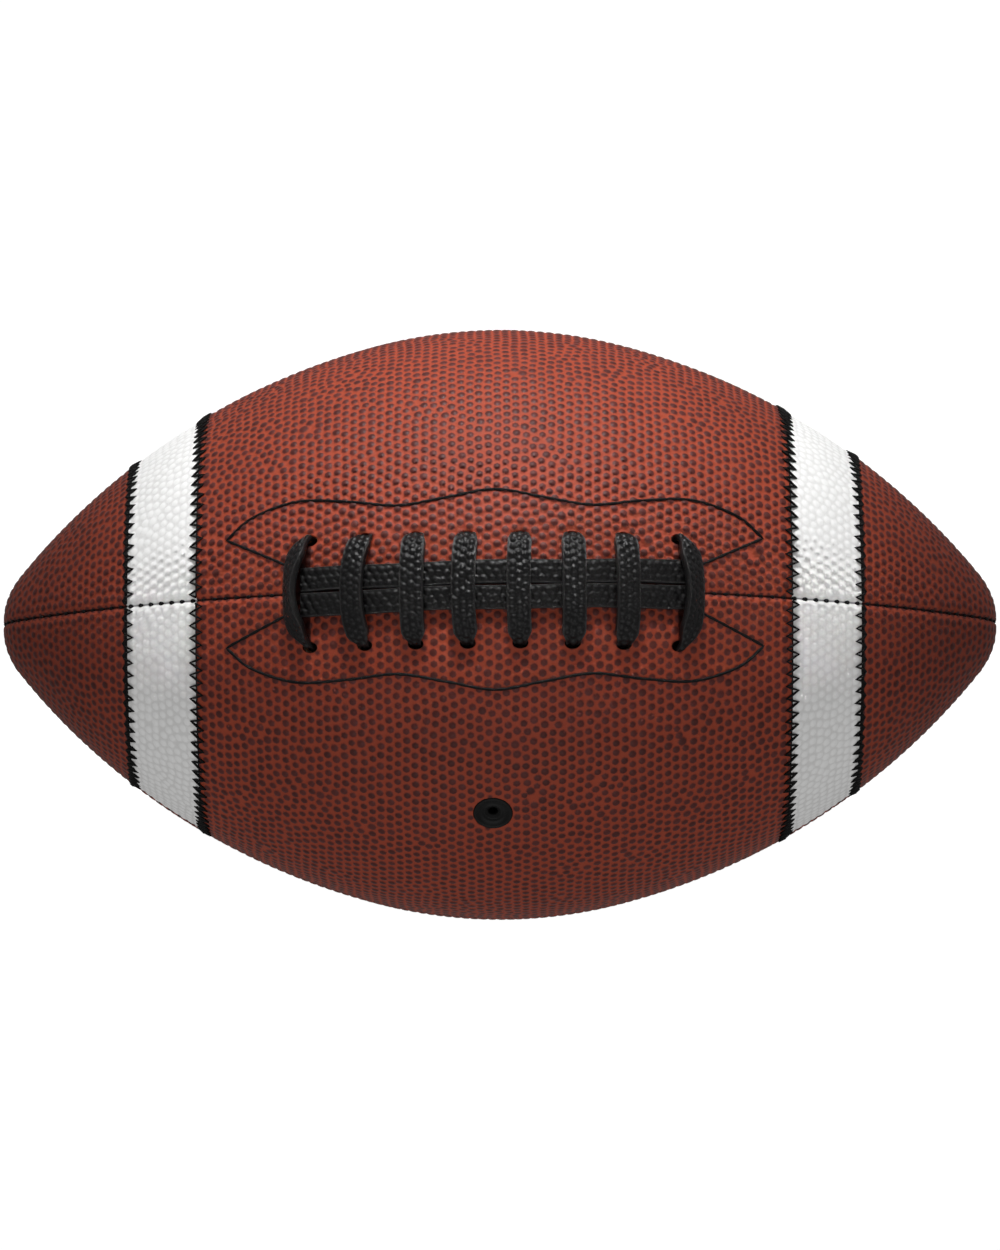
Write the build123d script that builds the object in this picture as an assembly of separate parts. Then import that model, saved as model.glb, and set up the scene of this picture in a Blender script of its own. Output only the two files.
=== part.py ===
from build123d import *
import math
import os

# American football, in millimetres. The origin is the ball's centre, +X is its long axis, +Z points out through
# the lacing and -Y is the front, the side that holds the valve. Distances along the skin start at the middle.

# Outline: a belly arc, a shoulder arc and a nose arc, each tangent to the next
BALL_LENGTH = 245.0
BALL_DIAMETER = 145.0
BELLY_RADIUS = 118.0
BELLY_HALF_ANGLE = 14.0
NOSE_RADIUS = 19.0

# Layers, from the outside in
PANEL_THICKNESS = 2.1
LINING_THICKNESS = 1.0
STAY_THICKNESS = 1.2
BLADDER_THICKNESS = 0.9
LAYER_CLEARANCE = 0.1
BLADDER_CLEARANCE = 0.3

# Seams: the panels' edges are turned inwards and sewn, which leaves a groove outside
SEAM_ALLOWANCE = 2.2
SEAM_GROOVE_WIDTH = 3.0
SEAM_GROOVE_DEPTH = 0.8
TIP_HOLE_DIAMETER = 1.6
SEAM_THREAD_DIAMETER = 0.8
SEAM_STITCH_PITCH = 3.1
SEAM_STITCH_GAP = 1.7
SEAM_TIP_MARGIN = 4.0
SEAM_LACE_MARGIN = 3.0

# Stripes: strips let into the two upper panels, with a zigzag thread along both edges. The setback is measured
# along the axis, from the ball's end to the strip's far edge. The offset then moves all strips along the axis
STRIPE_SETBACK = 51.3
STRIPE_WIDTH = 17.5
STRIPE_OFFSET = -1.4
STRIPE_START = BALL_LENGTH / 2 - STRIPE_SETBACK
STRIPE_THICKNESS = 1.0
STRIPE_SINK = 0.2
STRIPE_CLEARANCE = 0.1
ZIGZAG_PITCH = 3.0
ZIGZAG_WIDTH = 3.3
ZIGZAG_THREAD_DIAMETER = 0.9
ZIGZAG_BEND_RADIUS = 0.55
ZIGZAG_CHANNEL_DEPTH = 0.5
ZIGZAG_END_MARGIN = 1.2
THREAD_CLEARANCE = 0.05

# Lacing: cross bars over two long runs, through a row of holes on each side of the upper seam. The end step is
# how much further out the end bars are than the pitch puts them
BAR_COUNT = 8
BAR_PITCH = 12.4
END_BAR_STEP = 1.3
LACING_OFFSET = -1.4
END_BAR_BOW = 3.4
NEXT_BAR_BOW = 1.1
LACE_WIDTH = 6.2
LACE_THICKNESS = 1.9
LACE_CLEARANCE = 0.15
LEG_WIDTH = 4.0
HOLE_CLEARANCE = 0.45
HOLE_DISTANCE = 12.8
RUN_WIDTH = 5.7
RUN_THICKNESS = 1.7
RUN_GAP = 0.4
RUN_END = 1.7

# Stay stitching: points of the scalloped line, as distance along the axis from the line's middle and distance from
# the lace seam. The offset is from the ball's middle to the line's middle
STAY_LINE = [(64.0, 13.0), (47.0, 20.8), (35.0, 22.0), (23.0, 20.4), (11.5, 22.3), (0.0, 24.3)]
STAY_WING_END = (49.5, 6.0)
STAY_OFFSET = -1.2
STAY_THREAD_DIAMETER = 0.8
STAY_STITCH_PITCH = 3.0
STAY_STITCH_GAP = 0.4
STAY_MARGIN = 3.0

# Valve: a moulded housing on the bladder and the core that takes the needle. The offset is measured along the
# skin from the ball's middle, the turn from the lace seam
VALVE_OFFSET = -1.8
VALVE_TURN = 45.0
VALVE_DIAMETER = 9.4
VALVE_SINK = 0.4
VALVE_CLEARANCE = 0.1
VALVE_DISH_DIAMETER = 7.8
VALVE_DISH_DEPTH = 0.9
VALVE_FLANGE_DIAMETER = 22.0
VALVE_FLANGE_THICKNESS = 1.2
VALVE_STEM_DIAMETER = 7.6
VALVE_STEM_LENGTH = 15.0
CORE_DIAMETER = 5.0
CORE_BEAD_DIAMETER = 6.2
CORE_BEAD_THICKNESS = 2.0
CORE_CLEARANCE = 0.05
NEEDLE_BORE_DIAMETER = 2.1

# How far cutting shapes reach past what they cut
CUT = 1.0

# Depths below the skin of the layers' faces
lining_top = PANEL_THICKNESS + LAYER_CLEARANCE
lining_bottom = lining_top + LINING_THICKNESS
stay_top = lining_bottom + LAYER_CLEARANCE
stay_bottom = stay_top + STAY_THICKNESS
link_top = stay_bottom + LACE_CLEARANCE
link_bottom = link_top + LACE_THICKNESS
bladder_top = lining_bottom + BLADDER_CLEARANCE
bladder_bottom = bladder_top + BLADDER_THICKNESS
dent_top = link_bottom + BLADDER_CLEARANCE
flange_top = bladder_bottom + LAYER_CLEARANCE
flange_bottom = flange_top + VALVE_FLANGE_THICKNESS
stem_bottom = flange_bottom + VALVE_STEM_LENGTH
bead_top = flange_bottom
bead_bottom = bead_top + CORE_BEAD_THICKNESS

# The outline's arcs: the shoulder's radius follows from its tangency with the other two
belly_angle = math.radians(BELLY_HALF_ANGLE)
belly_centre = Vector(0, BALL_DIAMETER / 2 - BELLY_RADIUS)
belly_way = Vector(math.sin(belly_angle), math.cos(belly_angle))
belly_end = belly_centre + belly_way * BELLY_RADIUS
nose_centre = Vector(BALL_LENGTH / 2 - NOSE_RADIUS, 0)
to_nose = nose_centre - belly_end
shoulder_radius = (NOSE_RADIUS**2 - to_nose.length**2) / (2 * (to_nose.dot(belly_way) + NOSE_RADIUS))
shoulder_centre = belly_end - belly_way * shoulder_radius
nose_way = nose_centre - shoulder_centre
shoulder_angle = math.atan2(nose_way.X, nose_way.Y)
OUTLINE_ARCS = [
    (belly_centre, BELLY_RADIUS, 0.0, belly_angle),
    (shoulder_centre, shoulder_radius, belly_angle, shoulder_angle),
    (nose_centre, NOSE_RADIUS, shoulder_angle, math.pi / 2),
]
skin_half_length = sum(radius * (stop - start) for _, radius, start, stop in OUTLINE_ARCS)


def meridian_at(distance, depth=0.0):
    """x, distance from the long axis and slope, at a distance along the skin from the middle."""
    left = abs(distance)
    for centre, radius, start, stop in OUTLINE_ARCS:
        length = radius * (stop - start)
        if left <= length:
            break
        left -= length
    angle = start + left / radius
    reach = radius - depth
    x = centre.X + reach * math.sin(angle)
    height = centre.Y + reach * math.cos(angle)
    return math.copysign(x, distance), height, math.copysign(angle, distance)


def distance_at(x):
    """Distance along the skin from the middle to the cross section at x."""
    total = 0.0
    for centre, radius, start, stop in OUTLINE_ARCS:
        angle = math.asin(min(1.0, (abs(x) - centre.X) / radius))
        if angle <= stop:
            return math.copysign(total + radius * (angle - start), x)
        total += radius * (stop - start)
    return math.copysign(total, x)


def skin_plane(distance, turn, depth=0.0):
    """Plane on the skin, turned from the lace seam towards the front: x runs along the ball, z outwards."""
    x, height, slope = meridian_at(distance, depth)
    origin = Vector(x, -height * math.sin(turn), height * math.cos(turn))
    along = Vector(math.cos(slope), math.sin(slope) * math.sin(turn), -math.sin(slope) * math.cos(turn))
    outward = Vector(math.sin(slope), -math.cos(slope) * math.sin(turn), math.cos(slope) * math.cos(turn))
    return Plane(origin=origin, x_dir=along, z_dir=outward)


def arc_edge(centre, reach, start, stop, side=1):
    """Arc of the outline, mirrored to the left half where side is -1."""
    angles = (start, (start + stop) / 2, stop)
    points = [(side * (centre.X + reach * math.sin(a)), centre.Y + reach * math.cos(a)) for a in angles]
    return ThreePointArc(*points)


def outline_edges(depth, axis_height):
    """The outline at a depth below the skin, from tip to tip, down to a height above the long axis."""
    tip_angle = math.acos(axis_height / (NOSE_RADIUS - depth))
    edges = [arc_edge(belly_centre, BELLY_RADIUS - depth, -belly_angle, belly_angle)]
    for side in (-1, 1):
        edges.append(arc_edge(shoulder_centre, shoulder_radius - depth, belly_angle, shoulder_angle, side))
        edges.append(arc_edge(nose_centre, NOSE_RADIUS - depth, shoulder_angle, tip_angle, side))
    return edges


def layer(top, bottom, axis_height=0.0):
    """Section of a layer between two depths, on the plane of the lace seam."""
    edges = outline_edges(top, axis_height) + outline_edges(bottom, axis_height)
    for side in (-1, 1):
        tips = [nose_centre.X + math.sqrt((NOSE_RADIUS - d) ** 2 - axis_height**2) for d in (top, bottom)]
        edges.append(Line((side * tips[0], axis_height), (side * tips[1], axis_height)))
    return Plane.XZ * make_face(edges)


def slab(x_from, x_to):
    """Flat upright face between two cross sections, on the plane of the lace seam."""
    return Plane.XZ * Pos((x_from + x_to) / 2, BALL_DIAMETER / 2) * Rectangle(abs(x_to - x_from), BALL_DIAMETER)


def quarter(section):
    """The section turned from the lace seam to the front seam."""
    return revolve(section, Axis.X, 90)


def between_seams(margin):
    """Block that keeps a margin from the planes of the lace seam and the front seam."""
    align = (Align.CENTER, Align.MAX, Align.MIN)
    return Pos(0, -margin, margin) * Box(BALL_LENGTH, BALL_DIAMETER, BALL_DIAMETER, align=align)


def seam_groove():
    """Cutter for the groove along the lace seam, from tip to tip."""
    deep = SEAM_GROOVE_DEPTH
    half_width = SEAM_GROOVE_WIDTH / 2 * (deep + CUT) / deep
    tip = BALL_LENGTH / 2
    corners = [(-tip - CUT, half_width, 0), (-tip - CUT, -half_width, 0), (-tip + deep, 0, 0)]
    section = Face(Wire.make_polygon(corners))
    path = Wire(Plane.XZ * edge for edge in outline_edges(0.0, 0.0))
    return sweep(section, path)


def stripe_edges(side):
    """Positions along the axis of a stripe's edges, the inner one first."""
    return [STRIPE_OFFSET + side * x for x in (STRIPE_START, STRIPE_START + STRIPE_WIDTH)]


def stripe_channels(side):
    """Faces of the two shallow channels in which the zigzag threads of a stripe lie."""
    half_width = ZIGZAG_WIDTH / 2 + THREAD_CLEARANCE
    ring = layer(-CUT, ZIGZAG_CHANNEL_DEPTH)
    faces = []
    for x in stripe_edges(side):
        middle = distance_at(x)
        edges = [meridian_at(middle + reach)[0] for reach in (-half_width, half_width)]
        faces.append(ring & slab(*edges))
    return faces


def stripe_section(side):
    """Section of one stripe."""
    inner, outer = stripe_edges(side)
    room = side * STRIPE_CLEARANCE
    section = layer(STRIPE_SINK, STRIPE_SINK + STRIPE_THICKNESS) & slab(inner + room, outer - room)
    for channel in stripe_channels(side):
        section -= channel
    return section


def panel_section(striped):
    """Section of a panel with its turned-in edges, and with room for the stripes where it has them."""
    section = layer(0.0, lining_bottom, TIP_HOLE_DIAMETER / 2)
    if not striped:
        return section
    recess = layer(-CUT, STRIPE_SINK + STRIPE_THICKNESS + STRIPE_CLEARANCE)
    for side in (-1, 1):
        section -= recess & slab(*stripe_edges(side))
        for channel in stripe_channels(side):
            section -= channel
    return section


def panel_blank(striped, grooves):
    """A panel before its holes are cut."""
    pocket = quarter(layer(PANEL_THICKNESS, lining_bottom + CUT)) & between_seams(SEAM_ALLOWANCE)
    panel = quarter(panel_section(striped)) - pocket
    return panel - grooves


def lining_blank():
    """The fabric layer that lies between a panel's turned-in edges."""
    return quarter(layer(lining_top, lining_bottom)) & between_seams(SEAM_ALLOWANCE + LAYER_CLEARANCE)


def capsule(length, diameter):
    """A rod along x with round ends, about the origin."""
    radius = diameter / 2
    rod = Rot(0, 90, 0) * Cylinder(radius, length - diameter)
    return rod + [Pos(side * (length - diameter) / 2) * Sphere(radius) for side in (-1, 1)]


def seam_thread(start, stop):
    """Stitches in the lace seam's groove between two distances along the skin."""
    flank = math.atan2(SEAM_GROOVE_WIDTH / 2, SEAM_GROOVE_DEPTH)
    radius = SEAM_THREAD_DIAMETER / 2
    depth = SEAM_GROOVE_DEPTH - (radius + THREAD_CLEARANCE) / math.sin(flank)
    stitch = capsule(SEAM_STITCH_PITCH - SEAM_STITCH_GAP, SEAM_THREAD_DIAMETER)
    count = int((stop - start) / SEAM_STITCH_PITCH)
    first = (start + stop - (count - 1) * SEAM_STITCH_PITCH) / 2
    return Compound([
        skin_plane(first + i * SEAM_STITCH_PITCH, 0.0, depth).location * stitch for i in range(count)
    ])


def zigzag_thread(x):
    """Thread that crosses a stripe's edge from side to side, from the lace seam to the front seam."""
    radius = ZIGZAG_THREAD_DIAMETER / 2
    depth = ZIGZAG_CHANNEL_DEPTH - THREAD_CLEARANCE - radius
    middle = distance_at(x)
    reach = ZIGZAG_WIDTH / 2 - radius
    height = meridian_at(middle)[1]
    margin = SEAM_GROOVE_WIDTH / 2 + ZIGZAG_END_MARGIN
    legs = int((height * math.pi / 2 - 2 * margin) / (ZIGZAG_PITCH / 2))
    step = ZIGZAG_PITCH / 2 / height
    first = math.pi / 4 - legs * step / 2
    sides = [reach if i % 2 else -reach for i in range(legs + 1)]
    points = [skin_plane(middle + s, first + i * step, depth).origin for i, s in enumerate(sides)]
    path = FilletPolyline(*points, radius=ZIGZAG_BEND_RADIUS)
    section = Plane(origin=path @ 0, z_dir=path % 0) * Circle(radius)
    return sweep(section, path)


def bar_stations():
    """Distance along the skin of each cross bar."""
    stations = [LACING_OFFSET + (i - (BAR_COUNT - 1) / 2) * BAR_PITCH for i in range(BAR_COUNT)]
    stations[0] -= END_BAR_STEP
    stations[-1] += END_BAR_STEP
    return stations


def bar_bow(index):
    """How far a bar's crown stands out towards its end of the ball."""
    from_end = min(index, BAR_COUNT - 1 - index)
    side = -1 if index < BAR_COUNT / 2 else 1
    if from_end == 0:
        return side * END_BAR_BOW
    if from_end == 1:
        return side * NEXT_BAR_BOW
    return 0.0


def hole_plane(station, side, depth=0.0):
    """Plane at a lace hole: z along the hole, outwards. Side 1 is the front."""
    height = meridian_at(station)[1]
    return skin_plane(station, side * HOLE_DISTANCE / height, depth)


def lace_hole(station, side):
    """Cutter for one lace hole."""
    slot = SlotOverall(LEG_WIDTH + 2 * HOLE_CLEARANCE, LACE_THICKNESS + 2 * HOLE_CLEARANCE)
    return extrude(hole_plane(station, side, link_bottom) * slot, link_bottom + CUT)


def lace_bar(index):
    """One cross bar: an arch over the long runs, with a leg down each of its two holes."""
    station = bar_stations()[index]
    chords = [hole_plane(station, side).origin for side in (-1, 1)]
    half_span = (chords[1] - chords[0]).length / 2
    seam = skin_plane(station, 0.0)
    local = Plane(origin=(chords[0] + chords[1]) / 2, x_dir=seam.x_dir, z_dir=seam.z_dir)
    rise = (seam.origin - local.origin).length

    # The arch's underside is a circle that clears the runs' outer corners and the skin beside the holes
    corner_y = RUN_GAP / 2 + RUN_WIDTH
    corner_z = rise + LACE_CLEARANCE + RUN_THICKNESS + LACE_CLEARANCE
    foot_y = half_span - LACE_THICKNESS / 2
    foot_z = rise * (1 - (foot_y / half_span) ** 2) + LACE_CLEARANCE
    centre_z = (corner_y**2 + corner_z**2 - foot_y**2 - foot_z**2) / (2 * (corner_z - foot_z))
    inner_radius = math.hypot(corner_y, corner_z - centre_z)
    ring = Circle(inner_radius + LACE_THICKNESS) - Circle(inner_radius)
    reach = LACE_WIDTH + END_BAR_BOW
    arch = Pos(0, 0, centre_z) * extrude(Plane.YZ * ring, reach, both=True)

    # Seen from above the bar is a slot, bowed towards its end of the ball
    tip = half_span + LACE_THICKNESS / 2 - LACE_WIDTH / 2
    bow = bar_bow(index)
    slot = Rot(0, 0, 90) * SlotCenterToCenter(2 * tip, LACE_WIDTH)
    if bow:
        slot = SlotArc(ThreePointArc((0, -tip), (bow, 0), (0, tip)), LACE_WIDTH)
    crown = centre_z + inner_radius + LACE_THICKNESS
    bar = local * (arch & extrude(Pos(0, 0, foot_z) * slot, crown))

    # The legs reach up into the arch
    leg = SlotOverall(LEG_WIDTH, LACE_THICKNESS)
    leg_length = link_bottom + foot_z + LACE_THICKNESS / 4
    for side in (-1, 1):
        bar += extrude(hole_plane(station, side, link_bottom) * leg, leg_length)
    return bar


def lace_link(index, side):
    """The strip inside the ball from one bar's leg to the next bar's leg."""
    stations = bar_stations()[index : index + 2]
    depth = (link_top + link_bottom) / 2
    ends = [hole_plane(station, side, depth) for station in stations]
    way = ends[1].origin - ends[0].origin
    across = ends[0].y_dir + ends[1].y_dir
    section = Plane(origin=ends[0].origin, x_dir=across, z_dir=way) * Rectangle(LEG_WIDTH, LACE_THICKNESS)
    return extrude(section, way.length)


def cross_lace():
    """The whole cross lace: bars joined by links that change sides, as one strip."""
    lace = lace_bar(0)
    for i in range(1, BAR_COUNT):
        side = 1 if i % 2 else -1
        lace += [lace_link(i - 1, side), lace_bar(i)]
    return lace


def long_lace():
    """The two long runs that lie side by side under the bars."""
    ends = [skin_plane(s, 0.0).origin.X for s in (bar_stations()[0] - RUN_END, bar_stations()[-1] + RUN_END)]
    section = layer(-LACE_CLEARANCE - RUN_THICKNESS, -LACE_CLEARANCE) & slab(*ends)
    runs = []
    for side in (-1, 1):
        start = side * RUN_GAP / 2
        runs.append(Pos(0, start, 0) * extrude(section, RUN_WIDTH, dir=(0, side, 0)))
    return Compound(runs)


def stay_point(x, distance):
    """Point in plan, from the middle of the stay line, at a distance from the lace seam towards the front."""
    x += STAY_OFFSET
    height = meridian_at(distance_at(x))[1]
    return (x, -height * math.sin(distance / height))


def stay_scallop(margin):
    """The scalloped line in plan from cusp to cusp, moved out from the lacing by a margin."""
    right = [(x + math.copysign(margin, x) * bool(x), distance + margin) for x, distance in STAY_LINE]
    left = [(-x, distance) for x, distance in reversed(right[:-1])]
    return Spline(*[stay_point(x, distance) for x, distance in right + left])


def lace_stay():
    """The reinforcing piece behind the front row of lace holes."""
    scallop = stay_scallop(STAY_MARGIN)
    start = scallop @ 0
    stop = scallop @ 1
    edge = Polyline(stop, (stop.X, -LAYER_CLEARANCE), (start.X, -LAYER_CLEARANCE), start)
    outline = extrude(make_face([scallop, edge]), BALL_DIAMETER)
    return quarter(layer(stay_top, stay_bottom)) & outline


def stitches_along(path):
    """Stitches on the front upper panel along a line drawn in plan."""
    stitch = capsule(STAY_STITCH_PITCH - STAY_STITCH_GAP, STAY_THREAD_DIAMETER)
    lift = STAY_THREAD_DIAMETER / 2 + THREAD_CLEARANCE
    count = round(path.length / STAY_STITCH_PITCH)
    planes = []
    for i in range(count + 1):
        point = path @ (i / count)
        distance = distance_at(point.X)
        turn = math.asin(-point.Y / meridian_at(distance)[1])
        planes.append(skin_plane(distance, turn, -lift))
    placed = []
    for here, there in zip(planes, planes[1:]):
        middle = (here.origin + there.origin) / 2
        placed.append(Plane(middle, x_dir=there.origin - here.origin, z_dir=here.z_dir).location * stitch)
    return placed


def stay_thread():
    """The stitches that hold the front stay: the scalloped line, and a wing back to the lacing at each end."""
    stitches = stitches_along(stay_scallop(0.0))
    for side in (-1, 1):
        wing = [stay_point(side * x, distance) for x, distance in (STAY_LINE[0], STAY_WING_END)]
        stitches += stitches_along(Line(*wing))
    return Compound(stitches)


def core(depth):
    """Everything in the ball that lies deeper than a depth below the skin."""
    tip = BALL_LENGTH / 2 - depth
    return revolve(Plane.XZ * make_face(outline_edges(depth, 0.0) + [Line((-tip, 0), (tip, 0))]), Axis.X)


def bladder_blank():
    """The air bag, with a dent that makes room for the stays and for the lace inside."""
    x_reach = STAY_LINE[0][0] + STAY_MARGIN + LAYER_CLEARANCE + abs(STAY_OFFSET)
    y_reach = max(distance for _, distance in STAY_LINE) + STAY_MARGIN + LAYER_CLEARANCE
    align = (Align.CENTER, Align.CENTER, Align.MIN)
    dent = Box(2 * x_reach, 2 * y_reach, BALL_DIAMETER, align=align)
    outside = core(bladder_top) - (dent - core(dent_top))
    wall = BLADDER_THICKNESS
    dent = Box(2 * (x_reach + wall), 2 * (y_reach + wall), BALL_DIAMETER, align=align)
    inside = core(bladder_bottom) - (dent - core(dent_top + wall))
    return outside - inside


def valve_rod(diameter, top, bottom):
    """Cylinder on the valve's axis between two depths below the skin."""
    align = (Align.CENTER, Align.CENTER, Align.MIN)
    return valve_plane * Pos(0, 0, -bottom) * Cylinder(diameter / 2, bottom - top, align=align)


def valve_dish():
    """Cutter for the shallow dish in the valve's face."""
    half = VALVE_DISH_DIAMETER / 2
    radius = (half**2 + VALVE_DISH_DEPTH**2) / (2 * VALVE_DISH_DEPTH)
    return valve_plane * Pos(0, 0, radius - VALVE_DISH_DEPTH - VALVE_SINK) * Sphere(radius)


def valve_housing():
    """The moulded seat: a neck through the skin, a flange inside the bladder and a stem for the core."""
    neck = valve_rod(VALVE_DIAMETER, VALVE_SINK, flange_bottom)
    flange = quarter(layer(flange_top, flange_bottom)) & valve_rod(VALVE_FLANGE_DIAMETER, 0.0, stem_bottom)
    stem = valve_rod(VALVE_STEM_DIAMETER, flange_top, stem_bottom)
    room = CORE_CLEARANCE
    seat = valve_rod(CORE_DIAMETER + 2 * room, 0.0, stem_bottom + CUT)
    bead_seat = valve_rod(CORE_BEAD_DIAMETER + 2 * room, bead_top - room, bead_bottom + room)
    return neck + flange + stem - [seat, bead_seat, valve_dish()]


def valve_core():
    """The rubber plug, held by a bead, with the bore for the inflation needle."""
    plug = valve_rod(CORE_DIAMETER, VALVE_SINK, stem_bottom)
    bead = valve_rod(CORE_BEAD_DIAMETER, bead_top, bead_bottom)
    bore = valve_rod(NEEDLE_BORE_DIAMETER, 0.0, stem_bottom + CUT)
    return plug + bead - [bore, valve_dish()]


def to_rear(shape):
    """The same piece on the rear side."""
    return mirror(shape, about=Plane.XZ)


def to_bottom(shape):
    """The same piece on the lower side."""
    return mirror(shape, about=Plane.XY)


valve_plane = skin_plane(VALVE_OFFSET, math.radians(VALVE_TURN))
valve_hole = valve_rod(VALVE_DIAMETER + 2 * VALVE_CLEARANCE, -CUT, flange_bottom)

nodes = {}

# Skin: panels and linings
groove = seam_groove()
grooves = [groove, Rot(90, 0, 0) * groove]
front_holes = [lace_hole(station, 1) for station in bar_stations()]
upper_panel = panel_blank(True, grooves) - front_holes
lower_panel = panel_blank(False, grooves)
lining = lining_blank()
upper_lining = lining - front_holes
nodes["panel_upper_front"] = upper_panel - valve_hole
nodes["panel_upper_rear"] = to_rear(upper_panel)
nodes["panel_lower_front"] = to_bottom(lower_panel)
nodes["panel_lower_rear"] = to_rear(to_bottom(lower_panel))
nodes["lining_upper_front"] = upper_lining - valve_hole
nodes["lining_upper_rear"] = to_rear(upper_lining)
nodes["lining_lower_front"] = to_bottom(lining)
nodes["lining_lower_rear"] = to_rear(to_bottom(lining))

# Stripes and their zigzag threads
for end, side in (("left", -1), ("right", 1)):
    stripe = quarter(stripe_section(side)) - grooves
    nodes[f"stripe_front_{end}"] = stripe
    nodes[f"stripe_rear_{end}"] = to_rear(stripe)
    for edge, x in zip(("inner", "outer"), stripe_edges(side)):
        thread = zigzag_thread(x)
        nodes[f"stripe_thread_front_{end}_{edge}"] = thread
        nodes[f"stripe_thread_rear_{end}_{edge}"] = to_rear(thread)

# Seam threads: the lacing interrupts the upper seam
seam_stop = skin_half_length - SEAM_TIP_MARGIN
lacing_half = END_BAR_BOW + LACE_WIDTH / 2 + SEAM_LACE_MARGIN
nodes["seam_thread_lace_left"] = seam_thread(-seam_stop, bar_stations()[0] - lacing_half)
nodes["seam_thread_lace_right"] = seam_thread(bar_stations()[-1] + lacing_half, seam_stop)
whole_seam = seam_thread(-seam_stop, seam_stop)
for name, turn in (("front", 90), ("rear", -90), ("bottom", 180)):
    nodes[f"seam_thread_{name}"] = Rot(turn, 0, 0) * whole_seam

# Lacing
stay = lace_stay() - front_holes
stay_stitches = stay_thread()
nodes["lace_stay_front"] = stay
nodes["lace_stay_rear"] = to_rear(stay)
nodes["stay_thread_front"] = stay_stitches
nodes["stay_thread_rear"] = to_rear(stay_stitches)
nodes["lace_cross"] = cross_lace()
nodes["lace_long"] = long_lace()

# Bladder and valve
nodes["bladder"] = bladder_blank() - valve_hole
nodes["valve_housing"] = valve_housing()
nodes["valve_core"] = valve_core()

os.makedirs("parts", exist_ok=True)
for node, shape in nodes.items():
    shape.label = node
    export_step(shape, f"parts/{node}.step")
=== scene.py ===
import math

import bmesh
import bpy
import numpy as np
from bpy.props import FloatProperty, FloatVectorProperty, IntProperty, PointerProperty
from mathutils import Matrix, Vector
from mathutils.geometry import delaunay_2d_cdt
from mathutils.kdtree import KDTree


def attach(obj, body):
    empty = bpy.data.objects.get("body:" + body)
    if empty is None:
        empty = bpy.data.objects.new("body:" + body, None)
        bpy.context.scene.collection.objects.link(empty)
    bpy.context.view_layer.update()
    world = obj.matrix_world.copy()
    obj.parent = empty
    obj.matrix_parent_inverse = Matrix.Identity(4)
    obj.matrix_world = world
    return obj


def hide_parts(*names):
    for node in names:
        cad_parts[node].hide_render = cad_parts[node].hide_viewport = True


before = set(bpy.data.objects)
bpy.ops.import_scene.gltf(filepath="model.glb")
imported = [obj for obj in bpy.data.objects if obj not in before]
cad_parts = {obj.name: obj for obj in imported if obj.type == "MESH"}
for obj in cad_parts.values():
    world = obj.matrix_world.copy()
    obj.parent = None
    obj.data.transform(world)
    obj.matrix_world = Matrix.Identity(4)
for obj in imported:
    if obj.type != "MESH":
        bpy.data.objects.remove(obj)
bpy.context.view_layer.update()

bl_info = {
    "name": "American football",
    "version": (1, 0, 0),
    "blender": (4, 5, 0),
    "location": "View3D > Sidebar > Football",
    "description": "Dresses a football's solids with pebbled leather, stripes, stitches, lacing and a valve",
    "category": "Add Mesh",
}

# Panels by name, with the turn about the long axis where each starts and ends; turn 0 is the lace seam
PANELS = {
    "upper_front": (0.0, math.pi / 2),
    "upper_rear": (-math.pi / 2, 0.0),
    "lower_front": (math.pi / 2, math.pi),
    "lower_rear": (-math.pi, -math.pi / 2),
}


def length(name, default, description):
    """A size in metres that the sidebar shows."""
    return FloatProperty(name=name, description=description, default=default, unit="LENGTH", precision=5)


def angle(name, degrees, description):
    """An angle that the sidebar shows in degrees."""
    return FloatProperty(name=name, description=description, default=math.radians(degrees), subtype="ANGLE")


def colour(name, red, green, blue, description):
    """A colour that the sidebar shows as a swatch."""
    return FloatVectorProperty(
        name=name,
        description=description,
        default=(red, green, blue),
        size=3,
        min=0.0,
        max=1.0,
        subtype="COLOR",
    )


def number(name, default, description):
    """A plain number that the sidebar shows."""
    return FloatProperty(name=name, description=description, default=default)


def whole(name, default, description):
    """A whole number that the sidebar shows."""
    return IntProperty(name=name, description=description, default=default)


class FootballOutline(bpy.types.PropertyGroup):
    """Sizes of the ball's outline, as in the solids."""

    length: length("Length", 0.245, "From tip to tip")
    diameter: length("Diameter", 0.145, "Across the belly")
    belly_radius: length("Belly radius", 0.118, "Radius of the arc at the middle of the outline")
    belly_half_angle: angle("Belly half angle", 14.0, "Half of the angle that the belly arc covers")
    nose_radius: length("Nose radius", 0.019, "Radius of the arc at each tip")


class FootballLeather(bpy.types.PropertyGroup):
    """Pebbled leather of the four panels."""

    pitch: length("Pebble pitch", 0.0025, "Distance between neighbouring pebbles")
    height: length("Pebble height", 0.00043, "How far a pebble stands above the ground between pebbles")
    rise: length("Skin rise", 0.00003, "Ground level of the leather above the solid")
    jitter: number("Jitter", 0.22, "How far pebbles leave their rows, in pitches")
    groove: length("Seam groove", 0.00070, "Depth of the groove at a seam")
    groove_reach: length("Groove reach", 0.0010, "Distance from the seam where the groove starts")
    seed: whole("Seed", 7, "Start of the random pebble places")
    ground: colour("Ground colour", 0.330, 0.055, 0.0260, "Leather between the pebbles")
    top: colour("Top colour", 0.064, 0.0148, 0.0125, "Tops of the pebbles")


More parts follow.
